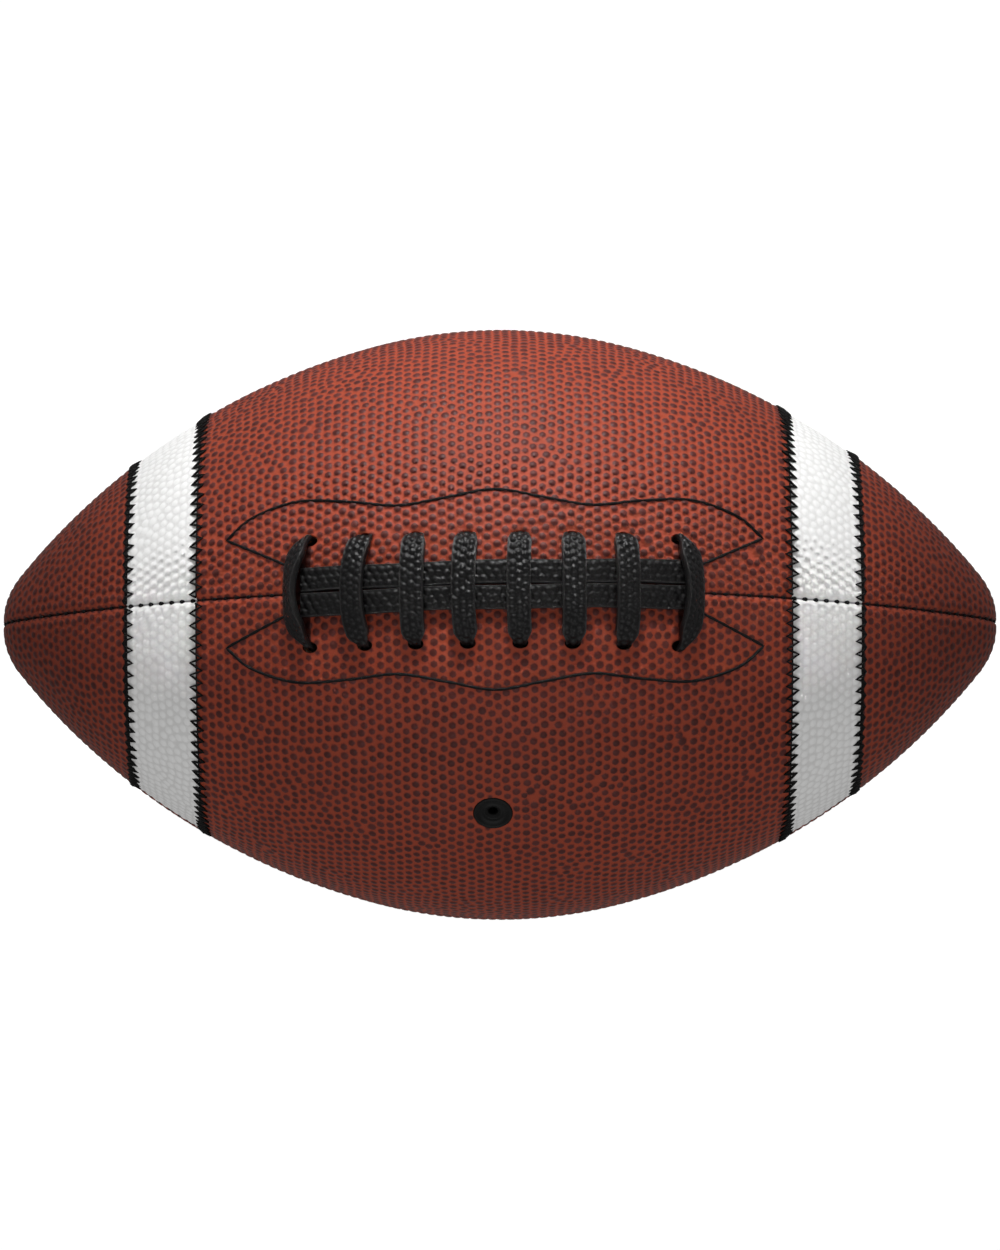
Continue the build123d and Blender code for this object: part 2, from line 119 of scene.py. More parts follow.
class FootballStripe(bpy.types.PropertyGroup):
    """White strips across the upper panels and the zigzag thread along their edges."""

    setback: length("Setback", 0.0513, "From the ball's end to the strip's inner edge, along the axis")
    offset: length("Offset", -0.0014, "How far all strips are moved along the axis")
    width: length("Width", 0.0175, "Width along the axis")
    sink: length("Sink", 0.00014, "Ground level of the strip below the ball's outline")
    pebble_height: length("Pebble height", 0.00022, "How far a pebble stands above the strip's ground")
    zigzag_pitch: length("Zigzag pitch", 0.003, "Distance between teeth on one side")
    zigzag_width: length("Zigzag width", 0.0033, "From tooth to tooth across the edge")
    inner_thread: length("Inner zigzag", 0.00032, "Radius of the zigzag nearer the middle")
    outer_thread: length("Outer zigzag", 0.00034, "Radius of the zigzag nearer the tip")
    inner_edge: length("Inner edge", 0.00022, "Radius of the straight thread nearer the middle")
    outer_edge: length("Outer edge", 0.00038, "Radius of the straight thread nearer the tip")
    white: colour("White", 0.93, 0.928, 0.92, "Tops of the strip's pebbles")
    # Painted shade: the grey laid between the strip's pebbles
    valley_shade_grey: colour("Grey", 0.78, 0.775, 0.765, "Ground of the strip, between the pebbles")
    seed: whole("Seed", 47, "Start of the random pebble places")


class FootballStitching(bpy.types.PropertyGroup):
    """Stitches in the seams and along the stays."""

    seam_pitch: length("Seam pitch", 0.0031, "Distance between seam stitches")
    seam_length: length("Seam stitch", 0.0015, "Length of a seam stitch")
    seam_width: length("Seam thread", 0.0011, "Width of the seam thread")
    stay_pitch: length("Stay pitch", 0.003, "Distance between stay stitches")
    stay_length: length("Stay stitch", 0.0046, "Length of a stay stitch")
    stay_width: length("Stay thread", 0.00085, "Width of the stay thread")
    stay_offset: length("Stay offset", -0.0012, "From the ball's middle to a stay line's, along the axis")
    thread: colour("Thread colour", 0.003, 0.0028, 0.0028, "Waxed black thread")


class FootballLacing(bpy.types.PropertyGroup):
    """Cross bars over two long runs."""

    bars: whole("Bars", 8, "Number of cross bars")
    pitch: length("Bar pitch", 0.0124, "Distance between bars along the skin")
    offset: length("Offset", -0.0014, "Middle of the lacing along the skin")
    hole_distance: length("Hole distance", 0.0128, "From the lace seam to a hole, along the skin")
    width: length("Lace width", 0.0057, "Width of the strip")
    thickness: length("Lace thickness", 0.0018, "Thickness of the strip")
    run_width: length("Run width", 0.0057, "Width of a long run")
    run_thickness: length("Run thickness", 0.0017, "Thickness of a long run")
    run_gap: length("Run gap", 0.0002, "Gap between the long runs")
    end_step: length("End step", 0.0013, "How much further out the end bars are than the pitch puts them")
    run_end: length("Run end", 0.0017, "How far the long runs reach past the outermost holes")
    left_bow: length("Left bow", 0.0039, "How far the left end bar bows outwards")
    right_bow: length("Right bow", 0.0029, "How far the right end bar bows outwards")
    left_lean: angle("Left lean", 52.0, "Lean of the left end bar at its middle")
    right_lean: angle("Right lean", 34.0, "Lean of the right end bar at its middle")
    bump_pitch: length("Bump pitch", 0.0018, "Distance between the lace's pebbles")
    bump_height: length("Bump height", 0.00046, "Height of the lace's pebbles")
    black: colour("Black", 0.0026, 0.0025, 0.0027, "Lace colour")
    # The rim colour is a painted highlight along the lace's upper edges
    rim: colour("Worn rim", 0.035, 0.034, 0.034, "Cut edges of the lace, where the coat is worn")


class FootballValve(bpy.types.PropertyGroup):
    """Rubber face of the valve."""

    offset: length("Offset", -0.0018, "From the ball's middle to the valve, along the skin")
    turn: angle("Turn", 45.0, "From the lace seam to the valve, about the long axis")
    radius: length("Radius", 0.0047, "Radius of the face")
    hole: length("Needle hole", 0.0021, "Diameter of the needle hole")
    rubber: colour("Rubber", 0.0018, 0.0017, 0.0017, "Rubber colour")


class FootballStage(bpy.types.PropertyGroup):
    """Floor, light and camera."""

    floor: colour("Floor", 0.20, 0.20, 0.20, "Share of the light that the pale floor throws back")
    glow: number("Floor glow", 0.95, "Light of the floor itself, as of a lit table")
    distance: length("Camera distance", 1.6, "From the ball's centre to the camera")
    elevation: angle("Camera elevation", 83.2, "Height of the camera over the horizon")
    roll: angle("Camera roll", 0.15, "Turn of the camera about its view axis")
    frame_width: length("Frame width", 0.2469, "Width of the picture at the ball's centre")
    key_power: number("Key light", 0.275, "Power of the large soft light")
    key_spread: angle("Key spread", 12.5, "How widely the large soft light fans out")
    fill_power: number("Fill light", 4.2, "Power of the weak front light")
    ambient: number("Ambient", 0.33, "Strength of the even light from all round")


class Num:
    """A socket that takes part in Python expressions; each operation adds a Math node."""

    def __init__(self, graph, socket):
        self.graph = graph
        self.socket = socket

    def math(self, operation, *values):
        return self.graph.node("ShaderNodeMath", {"operation": operation}, dict(enumerate(values)))

    def __add__(self, other):
        return self.math("ADD", self, other)

    def __radd__(self, other):
        return self.math("ADD", other, self)

    def __sub__(self, other):
        return self.math("SUBTRACT", self, other)

    def __rsub__(self, other):
        return self.math("SUBTRACT", other, self)

    def __mul__(self, other):
        return self.math("MULTIPLY", self, other)

    def __rmul__(self, other):
        return self.math("MULTIPLY", other, self)


class Graph:
    """A node tree, shader or geometry, that is filled by one method."""

    def __init__(self, tree):
        self.tree = tree
        self.tree.nodes.clear()

    def node(self, kind, settings=None, sockets=None, out=0):
        made = self.tree.nodes.new(kind)
        for name, value in (settings or {}).items():
            setattr(made, name, value)
        for key, value in (sockets or {}).items():
            socket = made.inputs[key]
            if isinstance(value, Num):
                self.tree.links.new(value.socket, socket)
            else:
                socket.default_value = value
        return Num(self, made.outputs[out]) if len(made.outputs) else made

    def attribute(self, name):
        return self.node("ShaderNodeAttribute", {"attribute_name": name}, out="Fac")

    def vector_attribute(self, name):
        return self.node("GeometryNodeInputNamedAttribute", {"data_type": "FLOAT_VECTOR"}, {"Name": name})

    def close(self, geometry, material):
        """Ends a geometry tree with smooth faces of one material."""
        solid = self.node("GeometryNodeRealizeInstances", None, {"Geometry": geometry})
        soft = self.node("GeometryNodeSetShadeSmooth", None, {"Geometry": solid})
        dyed = self.node("GeometryNodeSetMaterial", None, {"Geometry": soft, "Material": material})
        self.node("NodeGroupOutput", None, {0: dyed})

    def place(self):
        return self.node("ShaderNodeTexCoord", out="Object")

    def axial(self):
        """Distance from the ball's middle along its axis."""
        along = self.node("ShaderNodeSeparateXYZ", None, {"Vector": self.place()}, out="X")
        return along.math("ABSOLUTE", along)

    def noise(self, scale, detail=3.0, roughness=0.55):
        sockets = {"Vector": self.place(), "Scale": scale, "Detail": detail, "Roughness": roughness}
        return self.node("ShaderNodeTexNoise", None, sockets)

    def step(self, low, high, value):
        settings = {"interpolation_type": "SMOOTHSTEP"}
        sockets = {"Value": value, "From Min": low, "From Max": high, "To Min": 0.0, "To Max": 1.0}
        return self.node("ShaderNodeMapRange", settings, sockets)

    def blend(self, factor, first, second):
        def full(value):
            return value if isinstance(value, Num) else (*value, 1.0)

        sockets = {0: factor, 6: full(first), 7: full(second)}
        return self.node("ShaderNodeMix", {"data_type": "RGBA"}, sockets, out=2)

    def coat(self, base, roughness, height, depth, strength, specular=0.5):
        """Principled sockets of a coat with a fine relief."""
        relief = {"Height": height, "Distance": depth, "Strength": strength}
        return {
            "Base Color": base,
            "Roughness": roughness,
            "Specular IOR Level": specular,
            "Normal": self.node("ShaderNodeBump", None, relief),
        }


def finish_named(name, build):
    """The material of that name, made on first use from the Principled sockets that build returns."""
    material = bpy.data.materials.get(name)
    if material is None:
        material = bpy.data.materials.new(name)
        material.use_nodes = True
        graph = Graph(material.node_tree)
        shader = graph.node("ShaderNodeBsdfPrincipled", None, build(graph))
        graph.node("ShaderNodeOutputMaterial", None, {"Surface": shader})
    return material


def toned(tint, share):
    """A colour made lighter or darker by one factor."""
    return [v * share for v in tint]


def leather_finish(look):
    """Dark flattened pebble tops on a warm ground, with fine grain, and painted shade in the seam grooves,
    under the lacing and towards the tips.
    """

    def build(g):
        pebble = g.attribute("pebble")
        tone = g.attribute("tone")
        cloud = g.noise(38.0, 2.0)
        grain = g.noise(2600.0, 2.0)
        top = g.step(0.10, 0.44, pebble + (grain - 0.5) * 0.14)
        warm = g.blend(cloud, look.ground, toned(look.ground, 0.82))
        dark = g.blend(tone, look.top, toned(look.top, 1.55))
        base = g.blend(top, warm, dark)
        # Painted shade: nearly black in the seam grooves, under the lace runs and between the end bars and
        # the runs
        painted_shade = g.step(0.30, 0.85, g.attribute("groove"))
        base = g.blend(painted_shade * 0.9, base, toned(look.top, 0.2))
        # Painted shade: the leather is made darker towards both tips, standing in for the light falling off
        # there
        painted_tip_shade = g.step(0.075, 0.122, g.axial())
        base = g.blend(painted_tip_shade * 0.45, base, toned(look.top, 0.5))
        roughness = 0.62 - top * 0.15 + (grain - 0.5) * 0.12
        return g.coat(base, roughness, grain, 0.00004, 0.6, 0.16)

    return finish_named("football_leather", build)


def stripe_finish(look):
    """White coated leather with painted shade: greyer between its pebbles and dark in the seam grooves."""

    def build(g):
        pebble = g.attribute("pebble")
        grain = g.noise(1900.0, 2.0)
        cloud = g.noise(90.0, 3.0)
        top = g.step(0.0, 0.42, pebble + (cloud - 0.5) * 0.25)
        # Painted shade: grey between the pebbles, white on their tops
        base = g.blend(top, look.valley_shade_grey, look.white)
        # Painted shade: dark grey in the seam grooves
        base = g.blend(g.step(0.35, 0.95, g.attribute("groove")) * 0.7, base, (0.10, 0.098, 0.095))
        return g.coat(base, 0.52 + (grain - 0.5) * 0.15, grain, 0.00003, 0.5, 0.25)

    return finish_named("football_stripe", build)


def lace_finish(look):
    """Black coated strip whose pebbles are slightly worn, with a painted highlight along its upper edges."""

    def build(g):
        bump = g.attribute("bump")
        grain = g.noise(2200.0, 3.0)
        cloud = g.noise(220.0, 3.0)
        worn = g.step(0.35, 0.95, bump + (cloud - 0.5) * 0.5)
        base = g.blend(worn * 0.5, look.black, toned(look.black, 2.0))
        # Painted highlight: lighter grey along the lace's upper edges
        base = g.blend(g.attribute("rim") * (0.25 + cloud * 0.7), base, look.rim)
        roughness = 0.44 - worn * 0.10 + (grain - 0.5) * 0.2
        return g.coat(base, roughness, grain + cloud * 0.8, 0.00005, 0.8, 0.24)

    return finish_named("football_lace", build)


def thread_finish(look):
    """Waxed black thread with the lay of its fibres."""

    def build(g):
        lay = g.noise(3200.0, 3.0, 0.6)
        base = g.blend(lay, look.thread, toned(look.thread, 2.2))
        return g.coat(base, 0.62 + (lay - 0.5) * 0.3, lay, 0.00006, 0.8, 0.12)

    return finish_named("football_thread", build)


def rubber_finish(name, tint):
    """Moulded rubber with a faint bloom."""

    def build(g):
        bloom = g.noise(260.0, 4.0)
        grain = g.noise(3000.0, 2.0)
        base = g.blend(g.step(0.45, 0.8, bloom), tint, [min(1.0, v * 1.9 + 0.004) for v in tint])
        return g.coat(base, 0.48 + (bloom - 0.5) * 0.25, grain, 0.00003, 0.6, 0.18)

    return finish_named(name, build)


def lining_finish():
    """Woven cotton backing."""

    def build(g):
        sockets = {"Vector": g.place(), "Scale": 420.0}
        weft, warp = (g.node("ShaderNodeTexWave", {"bands_direction": way}, sockets) for way in "XY")
        weave = weft * warp
        base = g.blend(weave, (0.33, 0.29, 0.22), (0.62, 0.57, 0.47))
        return g.coat(base, 0.9 - weave * 0.1, weave, 0.0001, 0.7)

    return finish_named("football_lining", build)


def stay_finish():
    """Undyed hide of the lace stays."""

    def build(g):
        fibre = g.noise(700.0, 5.0, 0.65)
        base = g.blend(fibre, (0.30, 0.17, 0.085), (0.44, 0.28, 0.15))
        return g.coat(base, 0.75 + (fibre - 0.5) * 0.2, fibre, 0.0001, 0.6)

    return finish_named("football_stay", build)


def floor_finish(look):
    """Matt pale floor with hardly visible cloudiness."""

    def build(g):
        cloud = g.noise(3.0, 2.0)
        base = g.blend(cloud, look.floor, toned(look.floor, 0.98))
        return {
            "Base Color": base,
            "Roughness": 0.9 - cloud * 0.05,
            "Specular IOR Level": 0.1,
            "Emission Color": (1.0, 1.0, 1.0, 1.0),
            "Emission Strength": look.glow,
        }

    return finish_named("football_floor", build)


class Outline:
    """The ball's half section: belly, shoulder and nose arcs, each tangent to the next."""

    GRID_POINTS = 4001
    GRID_TIP_GAP = 1e-5

    def __init__(self, sizes):
        self.belly = sizes.belly_radius
        self.nose = sizes.nose_radius
        first = sizes.belly_half_angle
        way = np.array((math.sin(first), math.cos(first)))
        self.belly_centre = np.array((0.0, sizes.diameter / 2 - self.belly))
        self.nose_centre = np.array((sizes.length / 2 - self.nose, 0.0))
        end = self.belly_centre + self.belly * way
        gap = self.nose_centre - end
        self.shoulder = (self.nose**2 - gap @ gap) / (2 * (gap @ way + self.nose))
        self.shoulder_centre = end - self.shoulder * way
        out = self.nose_centre - self.shoulder_centre
        second = math.atan2(out[0], out[1])
        self.belly_length = self.belly * first
        self.shoulder_length = self.shoulder * (second - first)
        self.tip = self.belly_length + self.shoulder_length + self.nose * (math.pi / 2 - second)
        end = self.tip - self.GRID_TIP_GAP
        self.grid = np.linspace(-end, end, self.GRID_POINTS)
        self.grid_axial, radius, _ = self.at(self.grid)
        steps = np.diff(self.grid) * 0.5 * (1 / radius[1:] + 1 / radius[:-1])
        self.grid_chart = np.concatenate(((0.0,), np.cumsum(steps)))

    def at(self, distance):
        """Place along the axis, distance from it and tilt, at a distance along the skin from the middle."""
        way = np.abs(np.asarray(distance, float))
        tilt = np.minimum(way, self.belly_length) / self.belly
        tilt = tilt + np.clip(way - self.belly_length, 0.0, self.shoulder_length) / self.shoulder
        tilt = tilt + np.maximum(way - self.belly_length - self.shoulder_length, 0.0) / self.nose
        on_belly = way <= self.belly_length
        on_shoulder = way <= self.belly_length + self.shoulder_length
        bend = np.where(on_belly, self.belly, np.where(on_shoulder, self.shoulder, self.nose))
        centres = (self.belly_centre, self.shoulder_centre, self.nose_centre)
        middle = [np.where(on_belly, a, np.where(on_shoulder, b, c)) for a, b, c in zip(*centres)]
        axial = middle[0] + bend * np.sin(tilt)
        return np.sign(distance) * axial, middle[1] + bend * np.cos(tilt), tilt

    def skin(self, distance, turn, height=0.0):
        """Points over the skin, at a height above it."""
        axial, radius, tilt = self.at(distance)
        radius = radius + height * np.cos(tilt)
        axial = axial + np.sign(distance) * height * np.sin(tilt)
        return np.stack(np.broadcast_arrays(axial, -radius * np.sin(turn), radius * np.cos(turn)), -1)

    def outward(self, distance, turn):
        """Directions out of the skin."""
        _, _, tilt = self.at(distance)
        parts = (np.sign(distance) * np.sin(tilt), -np.cos(tilt) * np.sin(turn), np.cos(tilt) * np.cos(turn))
        return np.stack(np.broadcast_arrays(*parts), -1)

    def along(self, distance, turn):
        """Directions along the skin towards the right tip."""
        _, _, tilt = self.at(distance)
        dip = np.sign(distance) * np.sin(tilt)
        return np.stack(np.broadcast_arrays(np.cos(tilt), dip * np.sin(turn), -dip * np.cos(turn)), -1)

    def distance_at(self, axial):
        """Distance along the skin from the middle, at a place along the axis."""
        return np.interp(axial, self.grid_axial, self.grid)

    def chart(self, distance):
        """Distance on a flat chart that keeps angles."""
        return np.interp(distance, self.grid, self.grid_chart)

    def unchart(self, flat):
        """Distance along the skin at a distance on the flat chart."""
        return np.interp(flat, self.grid_chart, self.grid)


def smooth(low, high, value):
    """Smooth step from 0 to 1 between two values."""
    part = np.clip((value - low) / (high - low), 0.0, 1.0)
    return part * part * (3 - 2 * part)


def unit(rows):
    """Rows of vectors at length 1."""
    return rows / np.linalg.norm(rows, axis=1)[:, None]


def square_to(ways, tangent):
    """Directions nearest to the given ones that are square to a line's tangents."""
    return unit(ways - (ways * tangent).sum(1)[:, None] * tangent)


def lengths_along(line):
    """Distance along a line of points at each of them."""
    return np.concatenate(((0.0,), np.cumsum(np.linalg.norm(np.diff(line, axis=0), axis=1))))


# Pebbles, in pitches: distance of their rows, room that each one wants, largest reach, and margin to a border
ROW_STEP = 0.866
PEBBLE_ROOM = 1.06
PEBBLE_REACH = 0.62
PEBBLE_MARGIN = 0.3

# Spread of the pebbles' sizes, and the share of a pebble's reach that its flat top takes
PEBBLE_SPREAD = (0.90, 1.06)
PEBBLE_TOP = 0.32

# Push between crowded pebbles: share of the missing distance, largest step in pitches, and largest turn
PUSH_SHARE = 0.33
PUSH_STEP = 1 / 3
PUSH_TURN = 0.3


def pebble_centres(ball, patch, pitch, jitter, rng):
    """Pebble centres over a patch of skin in loosened rows; the outermost ones lie on the patch's border."""
    first, last, start, stop = patch
    rows = max(2, round((last - first) / (pitch * ROW_STEP)))
    places, free = [], []
    for row in range(rows + 1):
        distance = first + (last - first) * row / rows
        _, radius, _ = ball.at(distance)
        count = max(1, round(float(radius) * (stop - start) / pitch))
        parts = (np.arange(1, count + row % 2) - 0.5 * (row % 2)) / count
        for part in (0.0, *parts, 1.0):
            places.append((distance, start + (stop - start) * part))
            free.append(0 < row < rows and 0.0 < part < 1.0)
    places, free = np.array(places), np.array(free)
    shift = rng.normal(0.0, jitter * pitch, places.shape)
    radius = ball.at(places[:, 0])[1]
    places[free, 0] += shift[free, 0]
    places[free, 1] += shift[free, 1] / np.maximum(radius[free], pitch)
    return loosened(ball, places, free, patch, pitch)


def loosened(ball, places, free, patch, pitch, rounds=8, neighbours=8):
    """Pushes crowded centres apart, and keeps them inside the patch."""
    first, last, start, stop = patch
    room, margin = pitch * PEBBLE_ROOM, PEBBLE_MARGIN * pitch
    for _ in range(rounds):
        points = ball.skin(places[:, 0], places[:, 1])
        tree = KDTree(len(points))
        for index, point in enumerate(points):
            tree.insert(point, index)
        tree.balance()
        push = np.zeros_like(points)
        for index in np.nonzero(free)[0]:
            for near, other, gap in tree.find_n(points[index], neighbours):
                if other != index and gap < room:
                    way = (points[index] - np.array(near)) / max(gap, 1e-6)
                    push[index] += way * (room - gap) * PUSH_SHARE
        radius = np.maximum(ball.at(places[:, 0])[1], pitch)
        around = np.stack((np.zeros(len(places)), -np.cos(places[:, 1]), -np.sin(places[:, 1])), -1)
        step = (push * ball.along(places[:, 0], places[:, 1])).sum(1)
        turn = (push * around).sum(1) / radius
        places[free, 0] += np.clip(step, -PUSH_STEP * pitch, PUSH_STEP * pitch)[free]
        places[free, 1] += np.clip(turn, -PUSH_TURN, PUSH_TURN)[free]
        places[free, 0] = np.clip(places[free, 0], first + margin, last - margin)
        edge = np.minimum(margin / radius[free], (stop - start) / 4)
        places[free, 1] = np.clip(places[free, 1], start + edge, stop - edge)
    return places


def fine_triangles(corners, count, cuts=4):
    """Splits triangles into cuts x cuts each; gives the new ones, and each vertex's corners and shares."""
    pairs = np.sort(np.concatenate((corners[:, (0, 1)], corners[:, (1, 2)], corners[:, (2, 0)])), 1)
    edges, which = np.unique(pairs, axis=0, return_inverse=True)
    which = which.reshape(3, len(corners))
    inner = [(i, j) for i in range(1, cuts) for j in range(1, cuts - i)]
    owner = [np.stack((np.arange(count),) * 3, -1)]
    share = [np.tile((1.0, 0.0, 0.0), (count, 1))]
    steps = np.arange(1, cuts) / cuts
    owner.append(np.repeat(np.stack((edges[:, 0], edges[:, 1], edges[:, 1]), -1), cuts - 1, 0))
    share.append(np.tile(np.stack((1 - steps, steps, 0 * steps), -1), (len(edges), 1)))
    owner.append(np.repeat(corners, len(inner), 0))
    mixes = [((cuts - i - j) / cuts, i / cuts, j / cuts) for i, j in inner]
    share.append(np.tile(np.array(mixes), (len(corners), 1)))
    inner_base = count + len(edges) * (cuts - 1)
    order = np.arange(len(corners))

    def on_edge(side, first, step):
        forward = corners[:, first] == edges[which[side], 0]
        return count + which[side] * (cuts - 1) + np.where(forward, step - 1, cuts - step - 1)

    def vertex(i, j):
        if (i, j) == (0, 0):
            return corners[:, 0]
        if (i, j) == (cuts, 0):
            return corners[:, 1]
        if (i, j) == (0, cuts):
            return corners[:, 2]
        if j == 0:
            return on_edge(0, 0, i)
        if i + j == cuts:
            return on_edge(1, 1, j)
        if i == 0:
            return on_edge(2, 2, cuts - j)
        return inner_base + order * len(inner) + inner.index((i, j))

    faces = []
    for i in range(cuts):
        for j in range(cuts - i):
            faces.append(np.stack((vertex(i, j), vertex(i, j + 1), vertex(i + 1, j)), -1))
            if i + j < cuts - 1:
                faces.append(np.stack((vertex(i + 1, j), vertex(i, j + 1), vertex(i + 1, j + 1)), -1))
    return np.concatenate(faces), np.concatenate(owner), np.concatenate(share)


def pebbled_patch(ball, patch, leather, height, rng, relief, holes=()):
    """Vertices, triangles and attributes of one patch of pebbled skin."""
    places = pebble_centres(ball, patch, leather.pitch, leather.jitter, rng)
    flat = np.stack((ball.chart(places[:, 0]), places[:, 1]), -1)
    made = delaunay_2d_cdt([Vector(p) for p in flat], [], [], 0, 1e-9)
    flat = np.array([tuple(p) for p in made[0]])
    corners = np.array(made[2])
    places = np.stack((ball.unchart(flat[:, 0]), flat[:, 1]), -1)
    centre = ball.skin(places[:, 0], places[:, 1])
    pairs = np.concatenate((corners[:, (0, 1)], corners[:, (1, 2)], corners[:, (2, 0)]))
    gaps = np.linalg.norm(centre[pairs[:, 0]] - centre[pairs[:, 1]], axis=1)
    total = np.bincount(pairs.ravel(), np.repeat(gaps, 2), len(centre))
    reach = 0.5 * total / np.maximum(np.bincount(pairs.ravel(), minlength=len(centre)), 1)
    reach = np.minimum(reach, PEBBLE_REACH * leather.pitch) * rng.uniform(*PEBBLE_SPREAD, len(centre))
    tones = rng.uniform(0.0, 1.0, len(centre))
    faces, owner, share = fine_triangles(corners, len(centre))
    fine = (flat[owner] * share[..., None]).sum(1)
    distance, turn = ball.unchart(fine[:, 0]), fine[:, 1]
    gone = np.zeros(len(faces), bool)
    for hole_distance, hole_turn, half_along, half_round in holes:
        _, radius, _ = ball.at(hole_distance)
        a = (distance - hole_distance) / half_along
        b = (turn - hole_turn) * radius / half_round
        far = np.hypot(a, b)
        inside = far < 1.0
        gone |= inside[faces].all(1)
        scale = 1.0 / np.maximum(far[inside], 1e-6)
        distance[inside] = hole_distance + a[inside] * scale * half_along
        turn[inside] = hole_turn + b[inside] * scale * half_round / radius
    faces = faces[~gone]
    point = ball.skin(distance, turn)
    apart = np.linalg.norm(point[:, None] - centre[owner], axis=2) / reach[owner]
    apart = np.where(share > 0.0, apart, np.inf)
    nearest = apart.argmin(1)
    apart = apart.min(1)
    tone = tones[owner[np.arange(len(owner)), nearest]]
    # The third value is painted shade: dark in the seam grooves, and under the lacing where lace_cover adds
    # it; it is kept as the groove attribute
    lift, fade, groove = relief(distance, turn)
    dome = (1.0 - smooth(PEBBLE_TOP, 1.0, apart)) * fade
    point = ball.skin(distance, turn, lift + height(distance, turn) * dome)
    pebble = np.clip(1.0 - apart, 0.0, 1.0) * np.sqrt(fade)
    return point, faces, {"pebble": pebble, "tone": tone, "groove": groove}


def placed(name, data):
    """A new object in the scene."""
    made = bpy.data.objects.new(name, data)
    bpy.context.scene.collection.objects.link(made)
    return made


def mesh_piece(name, parts, material):
    """One object from vertex, face and attribute arrays, with smooth faces."""
    points = np.concatenate([p[0] for p in parts])
    starts = np.cumsum([0] + [len(p[0]) for p in parts])
    faces = np.concatenate([p[1] + start for p, start in zip(parts, starts)])
    mesh = bpy.data.meshes.new(name)
    mesh.vertices.add(len(points))
    mesh.vertices.foreach_set("co", points.astype(np.float32).ravel())
    mesh.loops.add(faces.size)
    mesh.loops.foreach_set("vertex_index", faces.astype(np.int32).ravel())
    mesh.polygons.add(len(faces))
    mesh.polygons.foreach_set("loop_start", np.arange(0, faces.size, faces.shape[1], dtype=np.int32))
    mesh.polygons.foreach_set("use_smooth", np.ones(len(faces), bool))
    mesh.update(calc_edges=True)
    for key in parts[0][2]:
        values = np.concatenate([p[2][key] for p in parts])
        mesh.attributes.new(key, "FLOAT", "POINT").data.foreach_set("value", values.astype(np.float32))
    mesh.validate()
    clear = bmesh.new()
    clear.from_mesh(mesh)
    loose = [v for v in clear.verts if not v.link_faces]
    bmesh.ops.delete(clear, geom=loose, context="VERTS")
    clear.to_mesh(mesh)
    clear.free()
    mesh.materials.append(material)
    return placed(name, mesh)


def add_piece(piece, slot, *nodes):
    """Ties a finished piece to the ball and hides the solids that it stands for; slot is not used."""
    if len(piece.data.polygons) == 0:
        raise RuntimeError(f"{piece.name} has no faces")
    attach(piece, "root")
    if nodes:
        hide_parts(*nodes)


def dress(node, material):
    """Gives a solid that stays in view, or inside, its finish."""
    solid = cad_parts[node]
    solid.data.materials.clear()
    solid.data.materials.append(material)


def settled(piece):
    """Turns what a piece's node modifier makes into a plain mesh."""
    bpy.context.view_layer.update()
    made = piece.evaluated_get(bpy.context.evaluated_depsgraph_get())
    mesh = bpy.data.meshes.new_from_object(made)
    old = piece.data
    piece.modifiers.clear()
    piece.data = mesh
    mesh.name = piece.name
    bpy.data.meshes.remove(old)
    return piece


def grown(name, tree, points, edges, vectors, values):
    """Runs a geometry tree on points with vector attributes; values are the tree's inputs by name."""
    mesh = bpy.data.meshes.new(name)
    mesh.from_pydata([tuple(p) for p in points], edges, [])
    for key, data in vectors.items():
        attribute = mesh.attributes.new(key, "FLOAT_VECTOR", "POINT")
        attribute.data.foreach_set("vector", np.asarray(data, np.float32).ravel())
    piece = placed(name, mesh)
    modifier = piece.modifiers.new(name, "NODES")
    modifier.node_group = tree
    for item in tree.interface.items_tree:
        if item.item_type == "SOCKET" and item.in_out == "INPUT" and item.name in values:
            modifier[item.identifier] = values[item.name]
    return settled(piece)


def new_tree(name, inputs):
    """A geometry tree with named inputs; gives the tree, its graph and the inputs' sockets."""
    tree = bpy.data.node_groups.new(name, "GeometryNodeTree")
    tree.interface.new_socket("Geometry", in_out="INPUT", socket_type="NodeSocketGeometry")
    for key, kind in inputs.items():
        tree.interface.new_socket(key, in_out="INPUT", socket_type=kind)
    tree.interface.new_socket("Geometry", in_out="OUTPUT", socket_type="NodeSocketGeometry")
    graph = Graph(tree)
    entry = tree.nodes.new("NodeGroupInput")
    return tree, graph, {s.name: Num(graph, s) for s in entry.outputs if s.name}


def tree_named(name, build):
    """The geometry tree of that name, made on first use."""
    return bpy.data.node_groups.get(name) or build(name)


def stitch_tree(name):
    """One rounded stitch on each point, laid along the seam and flat on the skin."""
    kinds = {
        "Stitch Length": "NodeSocketFloat",
        "Thread Width": "NodeSocketFloat",
        "Thread": "NodeSocketMaterial",
    }
    tree, g, given = new_tree(name, kinds)
    ball = g.node("GeometryNodeMeshUVSphere", None, {"Segments": 8, "Rings": 6, "Radius": 0.5})
    along = {"Vector": g.vector_attribute("along")}
    turn = g.node("FunctionNodeAlignRotationToVector", {"axis": "X"}, along)
    flat = {"Rotation": turn, "Vector": g.vector_attribute("outward")}
    turn = g.node("FunctionNodeAlignRotationToVector", {"axis": "Z", "pivot_axis": "X"}, flat)
    sides = {0: given["Stitch Length"], 1: given["Thread Width"], 2: given["Thread Width"]}
    scale = g.node("ShaderNodeCombineXYZ", None, sides)
    places = g.node("GeometryNodeMeshToPoints", None, {"Mesh": given["Geometry"]})
    stitches = {"Points": places, "Instance": ball, "Rotation": turn, "Scale": scale}
    g.close(g.node("GeometryNodeInstanceOnPoints", None, stitches), given["Thread"])
    return tree


